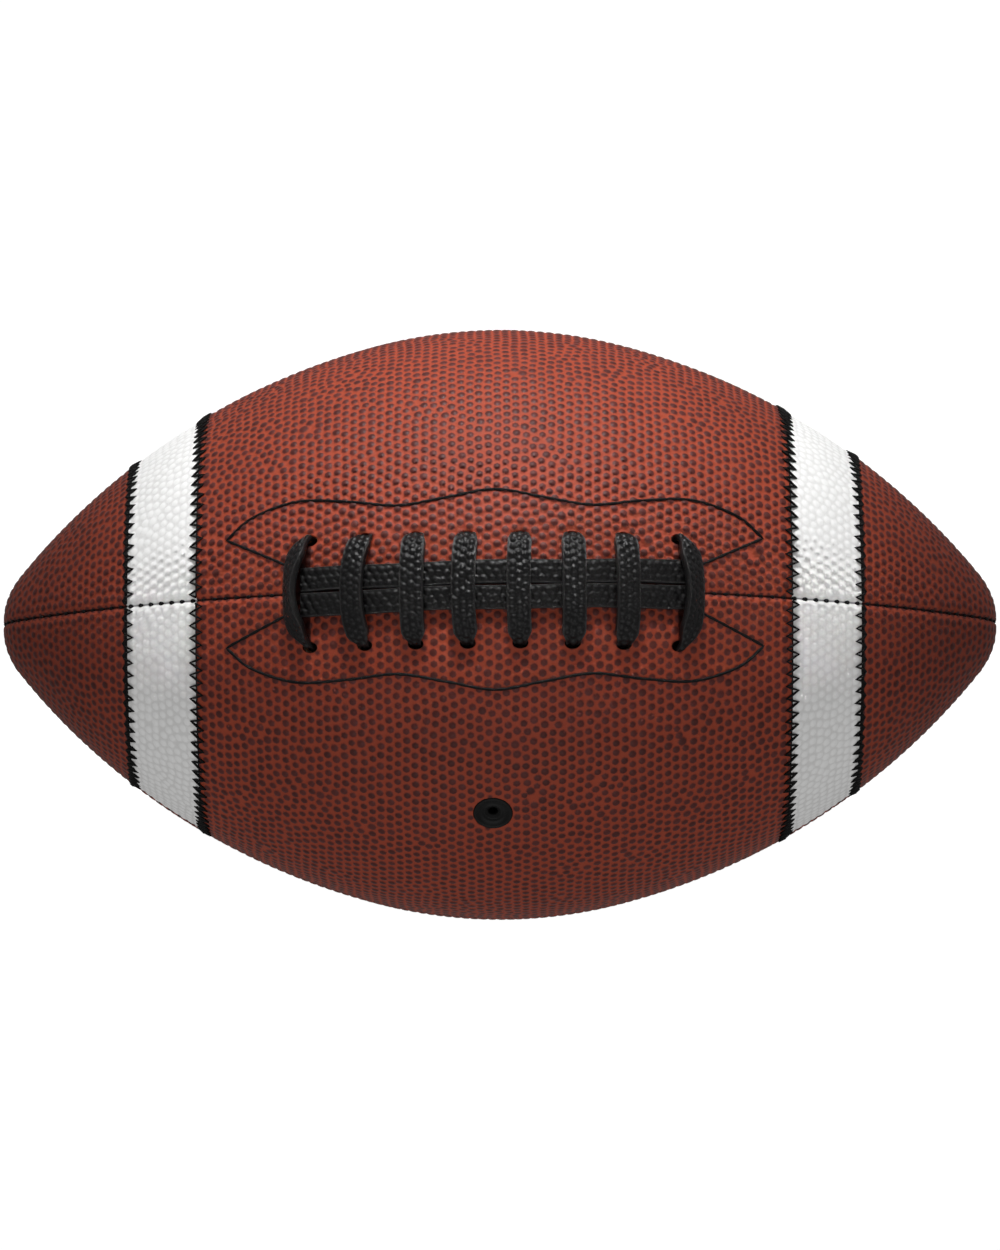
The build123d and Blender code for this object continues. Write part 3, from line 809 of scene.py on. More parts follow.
def zigzag_tree(name):
    """A thread that swings from side to side of a line, and a straight thread along the line."""
    kinds = {
        "Width": "NodeSocketFloat",
        "Thread Radius": "NodeSocketFloat",
        "Edge Radius": "NodeSocketFloat",
        "Thread": "NodeSocketMaterial",
    }
    tree, g, given = new_tree(name, kinds)
    swing = {0: g.vector_attribute("swing"), "Scale": given["Width"] * 0.5}
    reach = g.node("ShaderNodeVectorMath", {"operation": "SCALE"}, swing)
    reach = g.node("ShaderNodeVectorMath", {"operation": "ADD"}, {0: reach, 1: g.vector_attribute("rise")})
    line = g.node("GeometryNodeMeshToCurve", None, {"Mesh": given["Geometry"]})
    swung = g.node("GeometryNodeSetPosition", None, {"Geometry": line, "Offset": reach})

    def thread(curve, radius, sides):
        ring = g.node("GeometryNodeCurvePrimitiveCircle", None, {"Resolution": sides, "Radius": radius})
        sockets = {"Curve": curve, "Profile Curve": ring, "Fill Caps": True}
        return g.node("GeometryNodeCurveToMesh", None, sockets)

    both = g.node("GeometryNodeJoinGeometry")
    for part in (thread(swung, given["Thread Radius"], 8), thread(line, given["Edge Radius"], 10)):
        tree.links.new(part.socket, both.socket.node.inputs[0])
    g.close(both, given["Thread"])
    return tree


def stripe_spans(ball, outline, stripe):
    """Distances along the skin between which the strips lie, for each end of the ball."""
    near = outline.length / 2 - stripe.setback
    far = near + stripe.width
    at = [float(ball.distance_at(stripe.offset + x)) for x in (-far, -near, near, far)]
    return {"left": at[:2], "right": at[2:]}


def bar_stations(lacing):
    """Distances along the skin of the bars' holes."""
    middle = (lacing.bars - 1) / 2
    stations = [lacing.offset + (index - middle) * lacing.pitch for index in range(lacing.bars)]
    stations[0] -= lacing.end_step
    stations[-1] += lacing.end_step
    return stations


# Pebbles beside a border: share of their height that is left there, and the distances over which they rise
PEBBLE_FADE = {
    "seam": (0.30, 0.0, 0.0007),
    "strip": (0.45, 0.0, 0.0010),
    "hole": (0.30, 0.0002, 0.0016),
    "side": (0.50, 0.004, 0.022),
    "tip": (0.0, 0.001, 0.006),
}


def faded(border, away):
    """Share of the pebbles' height at a distance from a border."""
    left, start, end = PEBBLE_FADE[border]
    return left + (1.0 - left) * smooth(start, end, away)


def seam_relief(ball, leather, start, stop, edges, base, groove, extra=None):
    """Groove along a patch's seams: gives lift, pebble share and a share of painted shade at each point, from
    the groove's depth and what extra adds.
    """

    def relief(distance, turn):
        _, radius, _ = ball.at(distance)
        seam = np.minimum(turn - start, stop - turn) * radius
        dip = groove * np.clip(1.0 - seam / leather.groove_reach, 0.0, 1.0) ** 2
        fade = faded("seam", seam)
        for edge in edges:
            fade = np.minimum(fade, faded("strip", np.abs(distance - edge)))
        fade = fade * faded("tip", radius)
        shade = dip / groove
        if extra:
            fade, shade = extra(distance, turn, fade, shade)
        return base - dip, fade, shade

    return relief


# Gap between the leather's end and the ball's tip, where the four panel points meet
LEATHER_TIP_GAP = 0.0009

# Lace hole: half sizes along and around the ball, and the share of them that its rounded corners take
LACE_HOLE = (0.00195, 0.00138)
HOLE_CORNER = 0.3

# Gap between the leather and the valve's rim
VALVE_GAP = 0.00005

# Shade under the lacing: where it fades out beside the seam and past the last bars, and its soft edge around
# the bowed end bars
RUN_SHADE_SIDE = (0.0026, 0.0034)
RUN_SHADE_END = (-0.0005, 0.0005)
BOW_SHADE_EDGE = 0.0006


def panel_holes(ball, lacing, valve, name):
    """Holes in a panel: distance along the skin, turn, and half sizes along and around the ball."""
    holes = []
    if name.startswith("upper"):
        side = 1.0 if name == "upper_front" else -1.0
        for station in bar_stations(lacing):
            holes.append((station, side * lacing.hole_distance / float(ball.at(station)[1]), *LACE_HOLE))
    if name == "upper_front":
        half = valve.radius + VALVE_GAP
        holes.append((valve.offset, valve.turn, half, half))
    return holes


def lace_cover(ball, lacing, holes):
    """Flatter pebbles beside the holes, and shade under the lacing."""

    def covered(distance, turn, fade, shade):
        for at, around, half_along, half_round in holes:
            a = np.abs(distance - at)
            b = np.abs(turn - around) * ball.at(at)[1]
            corner = half_along
            if half_along != half_round:
                a = np.maximum(a - half_along * (1.0 - HOLE_CORNER), 0.0)
                b = np.maximum(b - half_round * (1.0 - HOLE_CORNER), 0.0)
                corner = HOLE_CORNER * min(half_along, half_round)
            fade = np.minimum(fade, faded("hole", np.hypot(a, b) - corner))
        across = np.abs(turn) * ball.at(distance)[1]
        along = np.abs(distance - lacing.offset) - (lacing.bars - 1) * lacing.pitch / 2 - lacing.end_step
        # Painted shade under the lace runs
        under = (1.0 - smooth(*RUN_SHADE_SIDE, across)) * (1.0 - smooth(*RUN_SHADE_END, along))
        # Painted shadow between each bowed end bar and the ends of the runs
        bow = np.where(distance < lacing.offset, lacing.left_bow, lacing.right_bow)
        bowed = bow * (1.0 - (across / lacing.hole_distance) ** 2)
        beside = smooth(-BOW_SHADE_EDGE, 0.0, along) * (1.0 - smooth(0.0, BOW_SHADE_EDGE, along - bowed))
        return fade, np.maximum(shade, np.maximum(under, beside))

    return covered


class FOOTBALL_OT_leather(bpy.types.Operator):
    """Makes the pebbled leather of the four panels"""

    bl_idname = "football.leather"
    bl_label = "Leather panels"

    def execute(self, context):
        scene = context.scene
        leather, valve, lacing = scene.football_leather, scene.football_valve, scene.football_lacing
        ball = Outline(scene.football_outline)
        strips = stripe_spans(ball, scene.football_outline, scene.football_stripe)
        finish = leather_finish(leather)
        end = ball.grid[-1] - LEATHER_TIP_GAP

        def height(distance, turn):
            """Lower pebbles where the panels are drawn round to the side seams."""
            away = np.abs(np.abs(turn) - math.pi / 2) * ball.at(distance)[1]
            return leather.height * faded("side", away)

        for order, (name, (start, stop)) in enumerate(PANELS.items()):
            rng = np.random.default_rng(leather.seed + order)
            edges = strips["left"] + strips["right"] if name.startswith("upper") else []
            bounds = [-end] + edges + [end]
            holes = panel_holes(ball, lacing, valve, name)
            cover = lace_cover(ball, lacing, holes)
            relief = seam_relief(ball, leather, start, stop, edges, leather.rise, leather.groove, cover)
            parts = []
            for first, last in zip(bounds[::2], bounds[1::2]):
                inside = [hole for hole in holes if first < hole[0] < last]
                patch = (first, last, start, stop)
                parts.append(pebbled_patch(ball, patch, leather, height, rng, relief, inside))
            piece = mesh_piece(f"leather_{name}", parts, finish)
            add_piece(piece, "panel_leather")
            dress(f"panel_{name}", finish)
        return {"FINISHED"}


# Depth of the groove where a strip meets a seam
STRIPE_GROOVE = 0.00055


class FOOTBALL_OT_stripes(bpy.types.Operator):
    """Makes the pebbled faces of the four white strips"""

    bl_idname = "football.stripes"
    bl_label = "White stripes"

    def execute(self, context):
        scene = context.scene
        leather, stripe = scene.football_leather, scene.football_stripe
        ball = Outline(scene.football_outline)
        strips = stripe_spans(ball, scene.football_outline, stripe)
        finish = stripe_finish(stripe)

        def height(distance, turn):
            return stripe.pebble_height

        order = 0
        for side in ("front", "rear"):
            start, stop = PANELS[f"upper_{side}"]
            for end, (first, last) in strips.items():
                order += 1
                rng = np.random.default_rng(stripe.seed + order)
                relief = seam_relief(ball, leather, start, stop, (first, last), -stripe.sink, STRIPE_GROOVE)
                part = pebbled_patch(ball, (first, last, start, stop), leather, height, rng, relief)
                piece = mesh_piece(f"stripe_face_{side}_{end}", [part], finish)
                add_piece(piece, "white_stripe")
                dress(f"stripe_{side}_{end}", finish)
        return {"FINISHED"}


# How far the zigzag's teeth reach over the white and over the brown side of an edge, in half widths
ZIGZAG_REACH = {"inner": (1.15, 1.05), "outer": (1.25, 0.40)}

# Turn that stays free between a zigzag's end and the seam
ZIGZAG_END = 0.015

# Heights: the edge over the skin, the teeth over the edge, and the drop of the teeth on the sunk white side
EDGE_LIFT = 0.00008
TOOTH_LIFT = 0.00028
WHITE_DROP = 0.00040


class FOOTBALL_OT_stripe_threads(bpy.types.Operator):
    """Makes the zigzag threads along the strips' edges"""

    bl_idname = "football.stripe_threads"
    bl_label = "Stripe threads"

    def execute(self, context):
        scene = context.scene
        stripe = scene.football_stripe
        ball = Outline(scene.football_outline)
        strips = stripe_spans(ball, scene.football_outline, stripe)
        tree = tree_named("football_zigzag", zigzag_tree)
        thread = thread_finish(scene.football_stitching)
        for side in ("front", "rear"):
            start, stop = PANELS[f"upper_{side}"]
            for end, sign in (("left", -1), ("right", 1)):
                near, far = strips[end][::sign]
                for edge, distance, white_way in (("inner", near, sign), ("outer", far, -sign)):
                    ring = float(ball.at(distance)[1])
                    count = 4 * round(ring * (stop - start - 2 * ZIGZAG_END) / stripe.zigzag_pitch)
                    turn = np.linspace(start + ZIGZAG_END, stop - ZIGZAG_END, count + 1)
                    beat = np.round(np.sin(np.arange(count + 1) * math.pi / 2))[:, None]
                    on_white = beat * white_way > 0
                    lift = TOOTH_LIFT - WHITE_DROP * on_white
                    swing = beat * np.where(on_white, *ZIGZAG_REACH[edge])
                    points = ball.skin(distance, turn, EDGE_LIFT)
                    vectors = {
                        "swing": swing * ball.along(distance, turn),
                        "rise": lift * ball.outward(distance, turn),
                    }
                    values = {
                        "Width": stripe.zigzag_width,
                        "Thread Radius": getattr(stripe, f"{edge}_thread"),
                        "Edge Radius": getattr(stripe, f"{edge}_edge"),
                        "Thread": thread,
                    }
                    links = [(i, i + 1) for i in range(count)]
                    piece = grown(f"zigzag_{side}_{end}_{edge}", tree, points, links, vectors, values)
                    add_piece(piece, "black_thread", f"stripe_thread_{side}_{end}_{edge}")
        return {"FINISHED"}


# Seam stitches: free lengths at the tips and beside the lacing, and depth of their middles below the outline
SEAM_TIP_GAP = 0.004
SEAM_LACE_GAP = 0.006
SEAM_DEPTH = 0.00042


class FOOTBALL_OT_seam_stitches(bpy.types.Operator):
    """Makes the stitches in the seams"""

    bl_idname = "football.seam_stitches"
    bl_label = "Seam stitches"

    def execute(self, context):
        scene = context.scene
        look, lacing = scene.football_stitching, scene.football_lacing
        ball = Outline(scene.football_outline)
        tree = tree_named("football_stitches", stitch_tree)
        thread = thread_finish(look)
        stations = bar_stations(lacing)
        end = ball.tip - SEAM_TIP_GAP
        runs = {
            "lace_left": (0.0, -end, stations[0] - SEAM_LACE_GAP),
            "lace_right": (0.0, stations[-1] + SEAM_LACE_GAP, end),
            "front": (math.pi / 2, -end, end),
            "rear": (-math.pi / 2, -end, end),
            "bottom": (math.pi, -end, end),
        }
        for name, (turn, first, last) in runs.items():
            distance = np.arange(first, last, look.seam_pitch)
            points = ball.skin(distance, turn, -SEAM_DEPTH)
            vectors = {"along": ball.along(distance, turn), "outward": ball.outward(distance, turn)}
            values = {"Stitch Length": look.seam_length, "Thread Width": look.seam_width, "Thread": thread}
            piece = grown(f"seam_stitches_{name}", tree, points, [], vectors, values)
            add_piece(piece, "black_thread", f"seam_thread_{name}")
        return {"FINISHED"}


# Half of the scalloped line beside the lacing, from its end to its middle: places along the axis and
# distances from the seam. A wing goes from the line's end to a point near the seam.
STAY_LINE = [
    (0.0640, 0.0130),
    (0.0576, 0.0184),
    (0.0470, 0.0220),
    (0.0350, 0.0216),
    (0.0230, 0.0204),
    (0.0115, 0.0223),
    (0.0, 0.0243),
]
STAY_WING = (0.0470, 0.0048)

# How far each side's line is sewn off that one: at its middle, what its ends add, and where that sets in
STAY_DRIFT = {"front": (-0.0004, -0.0007), "rear": (0.0003, 0.0009)}
STAY_DRIFT_SPAN = (0.010, 0.060)

# Stay stitches: share of a stitch from a line's end to the first stitch's middle, and height over the skin
STAY_INSET = 0.45
STAY_LIFT = 0.00022

# Half of the length over which a stitch line's direction is taken
WAY_STEP = 0.0008


def curve_through(points, steps=24):
    """A smooth line through points, with so many steps between neighbours."""
    around = np.concatenate(((2 * points[0] - points[1])[None], points, (2 * points[-1] - points[-2])[None]))
    fine = []
    for a, b, c, d in zip(around, around[1:], around[2:], around[3:]):
        for t in np.linspace(0.0, 1.0, steps, endpoint=False):
            square = (2 * a - 5 * b + 4 * c - d) * t**2
            cube = (3 * b - a - 3 * c + d) * t**3
            fine.append(0.5 * (2 * b + (c - a) * t + square + cube))
    return np.array(fine + [points[-1]])


def stay_runs(ball, offset, side):
    """The scalloped line on one side and the wings at its ends, as distances along and across the skin."""
    line = np.array([(-x, y) for x, y in STAY_LINE] + STAY_LINE[-2::-1])
    runs = [curve_through(line)]
    for end in (-1.0, 1.0):
        runs.append(np.array([(end * x, y) for x, y in (STAY_LINE[0], STAY_WING)]))
    middle_drift, end_drift = STAY_DRIFT[side]
    for run in runs:
        run[:, 1] += middle_drift + end_drift * smooth(*STAY_DRIFT_SPAN, np.abs(run[:, 0]))
        run[:, 0] = ball.distance_at(run[:, 0] + offset)
    return runs


class FOOTBALL_OT_stay_stitches(bpy.types.Operator):
    """Makes the scalloped stitch lines beside the lacing"""

    bl_idname = "football.stay_stitches"
    bl_label = "Stay stitches"

    def execute(self, context):
        scene = context.scene
        look = scene.football_stitching
        ball = Outline(scene.football_outline)
        tree = tree_named("football_stitches", stitch_tree)
        thread = thread_finish(look)
        inset = STAY_INSET * look.stay_length
        for name, side in (("front", 1.0), ("rear", -1.0)):
            points, along, outward = [], [], []
            for run in stay_runs(ball, look.stay_offset, name):
                steps = lengths_along(run)
                count = round((steps[-1] - 2 * inset) / look.stay_pitch) + 1
                at = np.linspace(inset, steps[-1] - inset, count)

                def spot(shift):
                    distance, across = (np.interp(at + shift, steps, run[:, k]) for k in (0, 1))
                    return distance, side * across / ball.at(distance)[1]

                along.append(unit(ball.skin(*spot(WAY_STEP)) - ball.skin(*spot(-WAY_STEP))))
                points.append(ball.skin(*spot(0.0), STAY_LIFT))
                outward.append(ball.outward(*spot(0.0)))
            points = np.concatenate(points)
            vectors = {"along": np.concatenate(along), "outward": np.concatenate(outward)}
            values = {"Stitch Length": look.stay_length, "Thread Width": look.stay_width, "Thread": thread}
            piece = grown(f"stay_stitches_{name}", tree, points, [], vectors, values)
            add_piece(piece, "black_thread", f"stay_thread_{name}")
        return {"FINISHED"}


# The lace's pebbles: looseness along and across, smallest reach and its spread, all in pitches, and roundness
BUMP_LOOSE = (0.36, 0.30)
BUMP_REACH = (0.46, 0.08)
BUMP_POWER = 0.8

# Factors of the column, the row, the seed and the sine in the scatter of the lace's pebbles
SCATTER_ALONG = (12.9898, 78.233, 3.7, 43758.5453)
SCATTER_ACROSS = (39.346, 11.135, 5.1, 24634.6345)


def scatter(column, row, seed, factors):
    """A share from 0 to 1 for each pebble of the lace, the same one each time."""
    a, b, c, size = factors
    return np.mod(np.sin(column * a + row * b + seed * c) * size, 1.0)


def lace_bumps(u, v, pitch, seed):
    """Height share of the lace's pebbles at places along and across a strip: rounded domes in loose rows."""
    best = np.full(u.shape, np.inf)
    middle_row = np.floor(v / (pitch * ROW_STEP) + 0.5)
    for row in (middle_row - 1, middle_row, middle_row + 1):
        shift = 0.5 * np.mod(row, 2)
        middle_column = np.floor(u / pitch - shift + 0.5)
        for column in (middle_column - 1, middle_column, middle_column + 1):
            loose_u = scatter(column, row, seed, SCATTER_ALONG)
            loose_v = scatter(column, row, seed, SCATTER_ACROSS)
            at_u = (column + shift + BUMP_LOOSE[0] * (loose_u - 0.5)) * pitch
            at_v = (row * ROW_STEP + BUMP_LOOSE[1] * (loose_v - 0.5)) * pitch
            size = pitch * (BUMP_REACH[0] + BUMP_REACH[1] * loose_u)
            best = np.minimum(best, np.hypot(u - at_u, v - at_v) / size)
    return np.clip(1.0 - best**2, 0.0, 1.0) ** BUMP_POWER


def lace_section(across=19):
    """Places around the strip's section, from -1 to 1 across and through it, with the share of pebbles."""
    top = [(v, 1.0 - 0.10 * abs(v) ** 6, 1.0 - abs(v) ** 6) for v in np.linspace(-0.93, 0.93, across)]
    edge = ((0.97, 0.86), (0.995, 0.70), (1.0, 0.50), (1.0, -0.60), (0.96, -0.93))
    corner = [(v, w, 0.0) for v, w in edge]
    under = [(v, -1.0, 0.0) for v in (0.8, 0.3, -0.3, -0.8)]
    other = [(-v, w, b) for v, w, b in corner[::-1]]
    return np.array(top + corner + under + other)


# Where the painted highlight along the strip's upper edges sets in, as shares of the strip's half width and
# of its half thickness
RIM_HIGHLIGHT_ACROSS = (0.84, 0.93)
RIM_HIGHLIGHT_ABOVE = (0.3, 0.7)


def strip_part(middle, side, up, half_width, half_thick, bump, pitch, seed, section):
    """Vertices and faces of a closed strip along a path with its own frames."""
    count, ring = len(middle), len(section)
    gone = lengths_along(middle)
    v, w, share = section[:, 0], section[:, 1], section[:, 2]
    across = half_width[:, None] * v[None]
    raised = lace_bumps(np.repeat(gone[:, None], ring, 1), across, pitch, seed) * share[None]
    through = half_thick[:, None] * w[None] + bump * (raised - 0.5 * (share[None] > 0))
    points = middle[:, None] + side[:, None] * across[..., None] + up[:, None] * through[..., None]
    index = np.arange(count * ring).reshape(count, ring)
    nxt = np.roll(index, -1, 1)
    quads = np.stack((index[:-1], index[1:], nxt[1:], nxt[:-1]), -1).reshape(-1, 4)
    faces = np.concatenate((quads[:, (0, 1, 2)], quads[:, (0, 2, 3)]))
    caps = []
    for row, flip in ((0, False), (count - 1, True)):
        for k in range(1, ring - 1):
            tri = (index[row, 0], index[row, k], index[row, k + 1])
            caps.append(tri[::-1] if flip else tri)
    faces = np.concatenate((faces, np.array(caps)))
    # The rim attribute marks a painted highlight along the strip's upper edges
    rim = smooth(*RIM_HIGHLIGHT_ACROSS, np.abs(v)) * smooth(*RIM_HIGHLIGHT_ABOVE, w)
    return points.reshape(-1, 3), faces, {"bump": raised.ravel(), "rim": np.tile(rim, count)}


def faced_out(part):
    """Turns a closed part's faces outwards."""
    points, faces, values = part
    a, b, c = (points[faces[:, k]] for k in range(3))
    volume = (a * np.cross(b, c)).sum()
    return (points, faces if volume > 0 else faces[:, ::-1], values)


def smooth_line(at, knots, values):
    """Values on a smooth line through rising knots, with no overshoot and level at the last one."""
    index = np.clip(np.searchsorted(knots, at, "right") - 1, 0, len(knots) - 2)
    slopes = np.diff(values) / np.diff(knots)
    means = 2 / (1 / slopes[1:] + 1 / slopes[:-1])
    tangents = np.concatenate(((slopes[0],), means, (0.0,)))
    wide = knots[index + 1] - knots[index]
    part = (at - knots[index]) / wide
    rest = 1 - part
    start = (1 + 2 * part) * rest**2 * values[index] + part * rest**2 * wide * tangents[index]
    end = part**2 * (3 - 2 * part) * values[index + 1] - part**2 * rest * wide * tangents[index + 1]
    return start + end


# Steps along a bar and their crowding at its ends, and how its bow and its lean fade towards its ends
BAR_STEPS = 111
BAR_CROWDING = 0.55
BOW_POWER = 2.2
LEAN_POWER = 1.7

# A bar from its hole to its middle: places along it, and its height over the skin there
BAR_KNOTS = np.array((-1.0, -0.99, -0.955, -0.87, -0.72, -0.5, -0.22, 0.0))
BAR_RISE = {
    "inner": np.array((-0.0030, -0.0016, 0.0001, 0.0013, 0.0022, 0.0028, 0.00305, 0.0031)),
    "end": np.array((-0.0030, -0.0016, 0.0000, 0.0012, 0.0022, 0.0029, 0.0033, 0.0034)),
}

# Where a bar begins to narrow towards its front and its rear hole, and by which share it narrows
BAR_NARROW = {"inner": ((0.74, 0.68), (0.80, 0.30)), "end": ((0.55, 0.80), (0.55, 0.80))}

# How much less the front ends narrow from left to right, and by which share bars get thinner at their ends
FRONT_EASE = 0.30
END_THINNING = 0.25

# Lean of the bars beside the left and the right end bar
NEXT_LEAN = (math.radians(-14), math.radians(7))

# How far the tops of the bars between the end bars lie from their holes along the ball, from left to right
BAR_SWAY = (-0.0024, -0.0005, -0.0009, -0.0005, 0.0, 0.0004)

# Where the bars' rear and front ends lie, as shares of the holes' distance from the seam
END_REACH = {"left": (1.12, 1.00), "inner": (1.06, 1.01), "right": (1.11, 1.09)}

# Long runs: steps along them, drift off the seam at the ball's middle and per metre, and the height and the
# angle per metre of their sway
RUN_STEPS = 300
RUN_DRIFT = (-0.0009, -0.018)
RUN_SWAY = (0.00012, 170)

# Long runs: height over the skin, further rise between the bars, and share by which they narrow there
RUN_LIFT = 0.00022
RUN_RISE = 0.00022
RUN_NARROW = 0.02

# Height and pitch of the long runs' pebbles, as shares of those of the bars, and the seed of their scatter
RUN_BUMP = (0.7, 1.05)
RUN_SEED = 20


class FOOTBALL_OT_lacing(bpy.types.Operator):
    """Makes the cross bars and the long runs of the lacing"""

    bl_idname = "football.lacing"
    bl_label = "Lacing"

    def execute(self, context):
        scene = context.scene
        look = scene.football_lacing
        ball = Outline(scene.football_outline)
        finish = lace_finish(look)
        section = lace_section()
        stations = bar_stations(look)
        bars = [self.bar(ball, look, stations, k, section) for k in range(look.bars)]
        add_piece(mesh_piece("lace_bars", [faced_out(b) for b in bars], finish), "black_lace", "lace_cross")
        runs = [self.run(ball, look, stations, side, section) for side in (1.0, -1.0)]
        add_piece(mesh_piece("lace_runs", [faced_out(r) for r in runs], finish), "black_lace", "lace_long")
        return {"FINISHED"}

    def bar(self, ball, look, stations, k, section):
        """One bar: up out of the rear hole, over the runs and down into the front hole."""
        last = look.bars - 1
        kind = "end" if k in (0, last) else "inner"
        leans = {0: -look.left_lean, 1: NEXT_LEAN[0], last - 1: NEXT_LEAN[1], last: look.right_lean}
        sway = np.interp(k, np.linspace(1, last - 1, len(BAR_SWAY)), BAR_SWAY)
        bow = {0: -look.left_bow, last: look.right_bow}.get(k, sway)
        even = np.linspace(-1.0, 1.0, BAR_STEPS)
        p = BAR_CROWDING * np.sin(even * math.pi / 2) + (1.0 - BAR_CROWDING) * even
        height = smooth_line(-np.abs(p), BAR_KNOTS, BAR_RISE[kind])
        rear_reach, front_reach = END_REACH[{0: "left", last: "right"}.get(k, "inner")]
        reach = p * look.hole_distance * np.where(p > 0, front_reach, rear_reach)
        distance = stations[k] + bow * (1.0 - np.abs(p) ** BOW_POWER)
        turn = reach / ball.at(distance)[1]
        middle = ball.skin(distance, turn, height)
        tangent = unit(np.gradient(middle, axis=0))
        side = square_to(ball.along(np.full(len(p), stations[k]), turn), tangent)
        up = np.cross(side, tangent)
        up *= np.sign((up * ball.outward(distance, turn)).sum(1)[len(p) // 2])
        tip = (1.0 - np.abs(p) ** LEAN_POWER) * leans.get(k, 0.0)
        cos, sin = np.cos(tip)[:, None], np.sin(tip)[:, None]
        side, up = side * cos - up * sin, up * cos + side * sin
        (front_start, front_pinch), (rear_start, rear_pinch) = BAR_NARROW[kind]
        if kind == "inner":
            front_pinch -= FRONT_EASE * k / last
        front = smooth(front_start, 1.0, p)
        rear = smooth(rear_start, 1.0, -p)
        half = look.width / 2 * (1.0 - front_pinch * front - rear_pinch * rear)
        thick = look.thickness / 2 * (1.0 - END_THINNING * np.maximum(front, rear))
        return strip_part(middle, side, up, half, thick, look.bump_height, look.bump_pitch, k + 1.0, section)

    def run(self, ball, look, stations, side, section):
        """One long run beneath the bars, tucked under the end bars."""
        distance = np.linspace(stations[0] - look.run_end, stations[-1] + look.run_end, RUN_STEPS)
        phase = (distance - stations[0]) / look.pitch * 2 * math.pi
        drift = RUN_DRIFT[0] + RUN_DRIFT[1] * distance
        sway = RUN_SWAY[0] * np.sin(distance * RUN_SWAY[1] + side)
        turn = (side * (look.run_width + look.run_gap) / 2 + drift + sway) / ball.at(distance)[1]
        free = 0.5 - 0.5 * np.cos(phase)
        middle = ball.skin(distance, turn, look.run_thickness / 2 + RUN_LIFT + RUN_RISE * free)
        tangent = unit(np.gradient(middle, axis=0))
        up = square_to(ball.outward(distance, turn), tangent)
        across = np.cross(tangent, up)
        half = look.run_width / 2 * (1.0 - RUN_NARROW * free)
        thick = np.full(len(distance), look.run_thickness / 2)
        bump, pitch = RUN_BUMP[0] * look.bump_height, RUN_BUMP[1] * look.bump_pitch
        return strip_part(middle, across, up, half, thick, bump, pitch, RUN_SEED + side, section)


class FOOTBALL_OT_valve(bpy.types.Operator):
    """Makes the rubber face of the valve"""

    bl_idname = "football.valve"
    bl_label = "Valve"

    def execute(self, context):
        scene = context.scene
        look = scene.football_valve
        ball = Outline(scene.football_outline)
        finish = rubber_finish("football_valve", look.rubber)
        rim, hole = look.radius, look.hole / 2
        lip = [
            (0.0, -0.0012), (0.0, -0.0002), (0.0001, 0.00012), (0.0003, 0.00024), (0.0006, 0.00020),
            (0.0009, -0.00002), (0.0013, -0.00028),
        ]
        ridge = [
            (0.0029, -0.00044), (0.0025, -0.00046), (0.0023, -0.00034),
            (0.0021, -0.00030), (0.0019, -0.00036), (0.0017, -0.00055),
        ]
        mouth = [(0.00025, -0.00072), (0.0, -0.0010), (0.0, -0.0020)]
        profile = [(rim - inset, height) for inset, height in lip] + ridge
        profile += [(hole + outset, height) for outset, height in mouth]
        sides = 64
        turn = np.linspace(0.0, 2 * math.pi, sides, endpoint=False)
        centre = ball.skin(look.offset, look.turn)
        outward = ball.outward(look.offset, look.turn)
        along = ball.along(look.offset, look.turn)
        around = np.cross(outward, along)
        points = []
        for radius, height in profile:
            ring = centre + outward * height
            points.append(ring + radius * (np.cos(turn)[:, None] * along + np.sin(turn)[:, None] * around))
        index = np.arange(len(profile) * sides).reshape(len(profile), sides)
        nxt = np.roll(index, -1, 1)
        quads = np.stack((index[:-1], nxt[:-1], nxt[1:], index[1:]), -1).reshape(-1, 4)
        piece = mesh_piece("valve_face", [(np.concatenate(points), quads, {})], finish)
        add_piece(piece, "valve_rubber")
        dress("valve_housing", finish)
        dress("valve_core", finish)
        return {"FINISHED"}


class FOOTBALL_OT_inside(bpy.types.Operator):
    """Gives the linings, stays and bladder their finishes"""

    bl_idname = "football.inside"
    bl_label = "Inside layers"

    def execute(self, context):
        lining, stay = lining_finish(), stay_finish()
        bladder = rubber_finish("football_bladder", (0.03, 0.028, 0.027))
        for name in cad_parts:
            if name.startswith("lining_"):
                dress(name, lining)
            elif name.startswith("lace_stay_"):
                dress(name, stay)
        dress("bladder", bladder)
        return {"FINISHED"}


# Floor: half of its side, and its gap below the ball
FLOOR_HALF = 3.0
FLOOR_GAP = 0.0006

# Lights: place, and size along and across
KEY_LIGHT = ((0.0, 1.35, 0.80), (0.14, 0.3))
FILL_LIGHT = ((0.0, -1.1, 1.0), (1.2, 0.8))

# Width of the camera's sensor in millimetres
SENSOR_WIDTH = 36.0


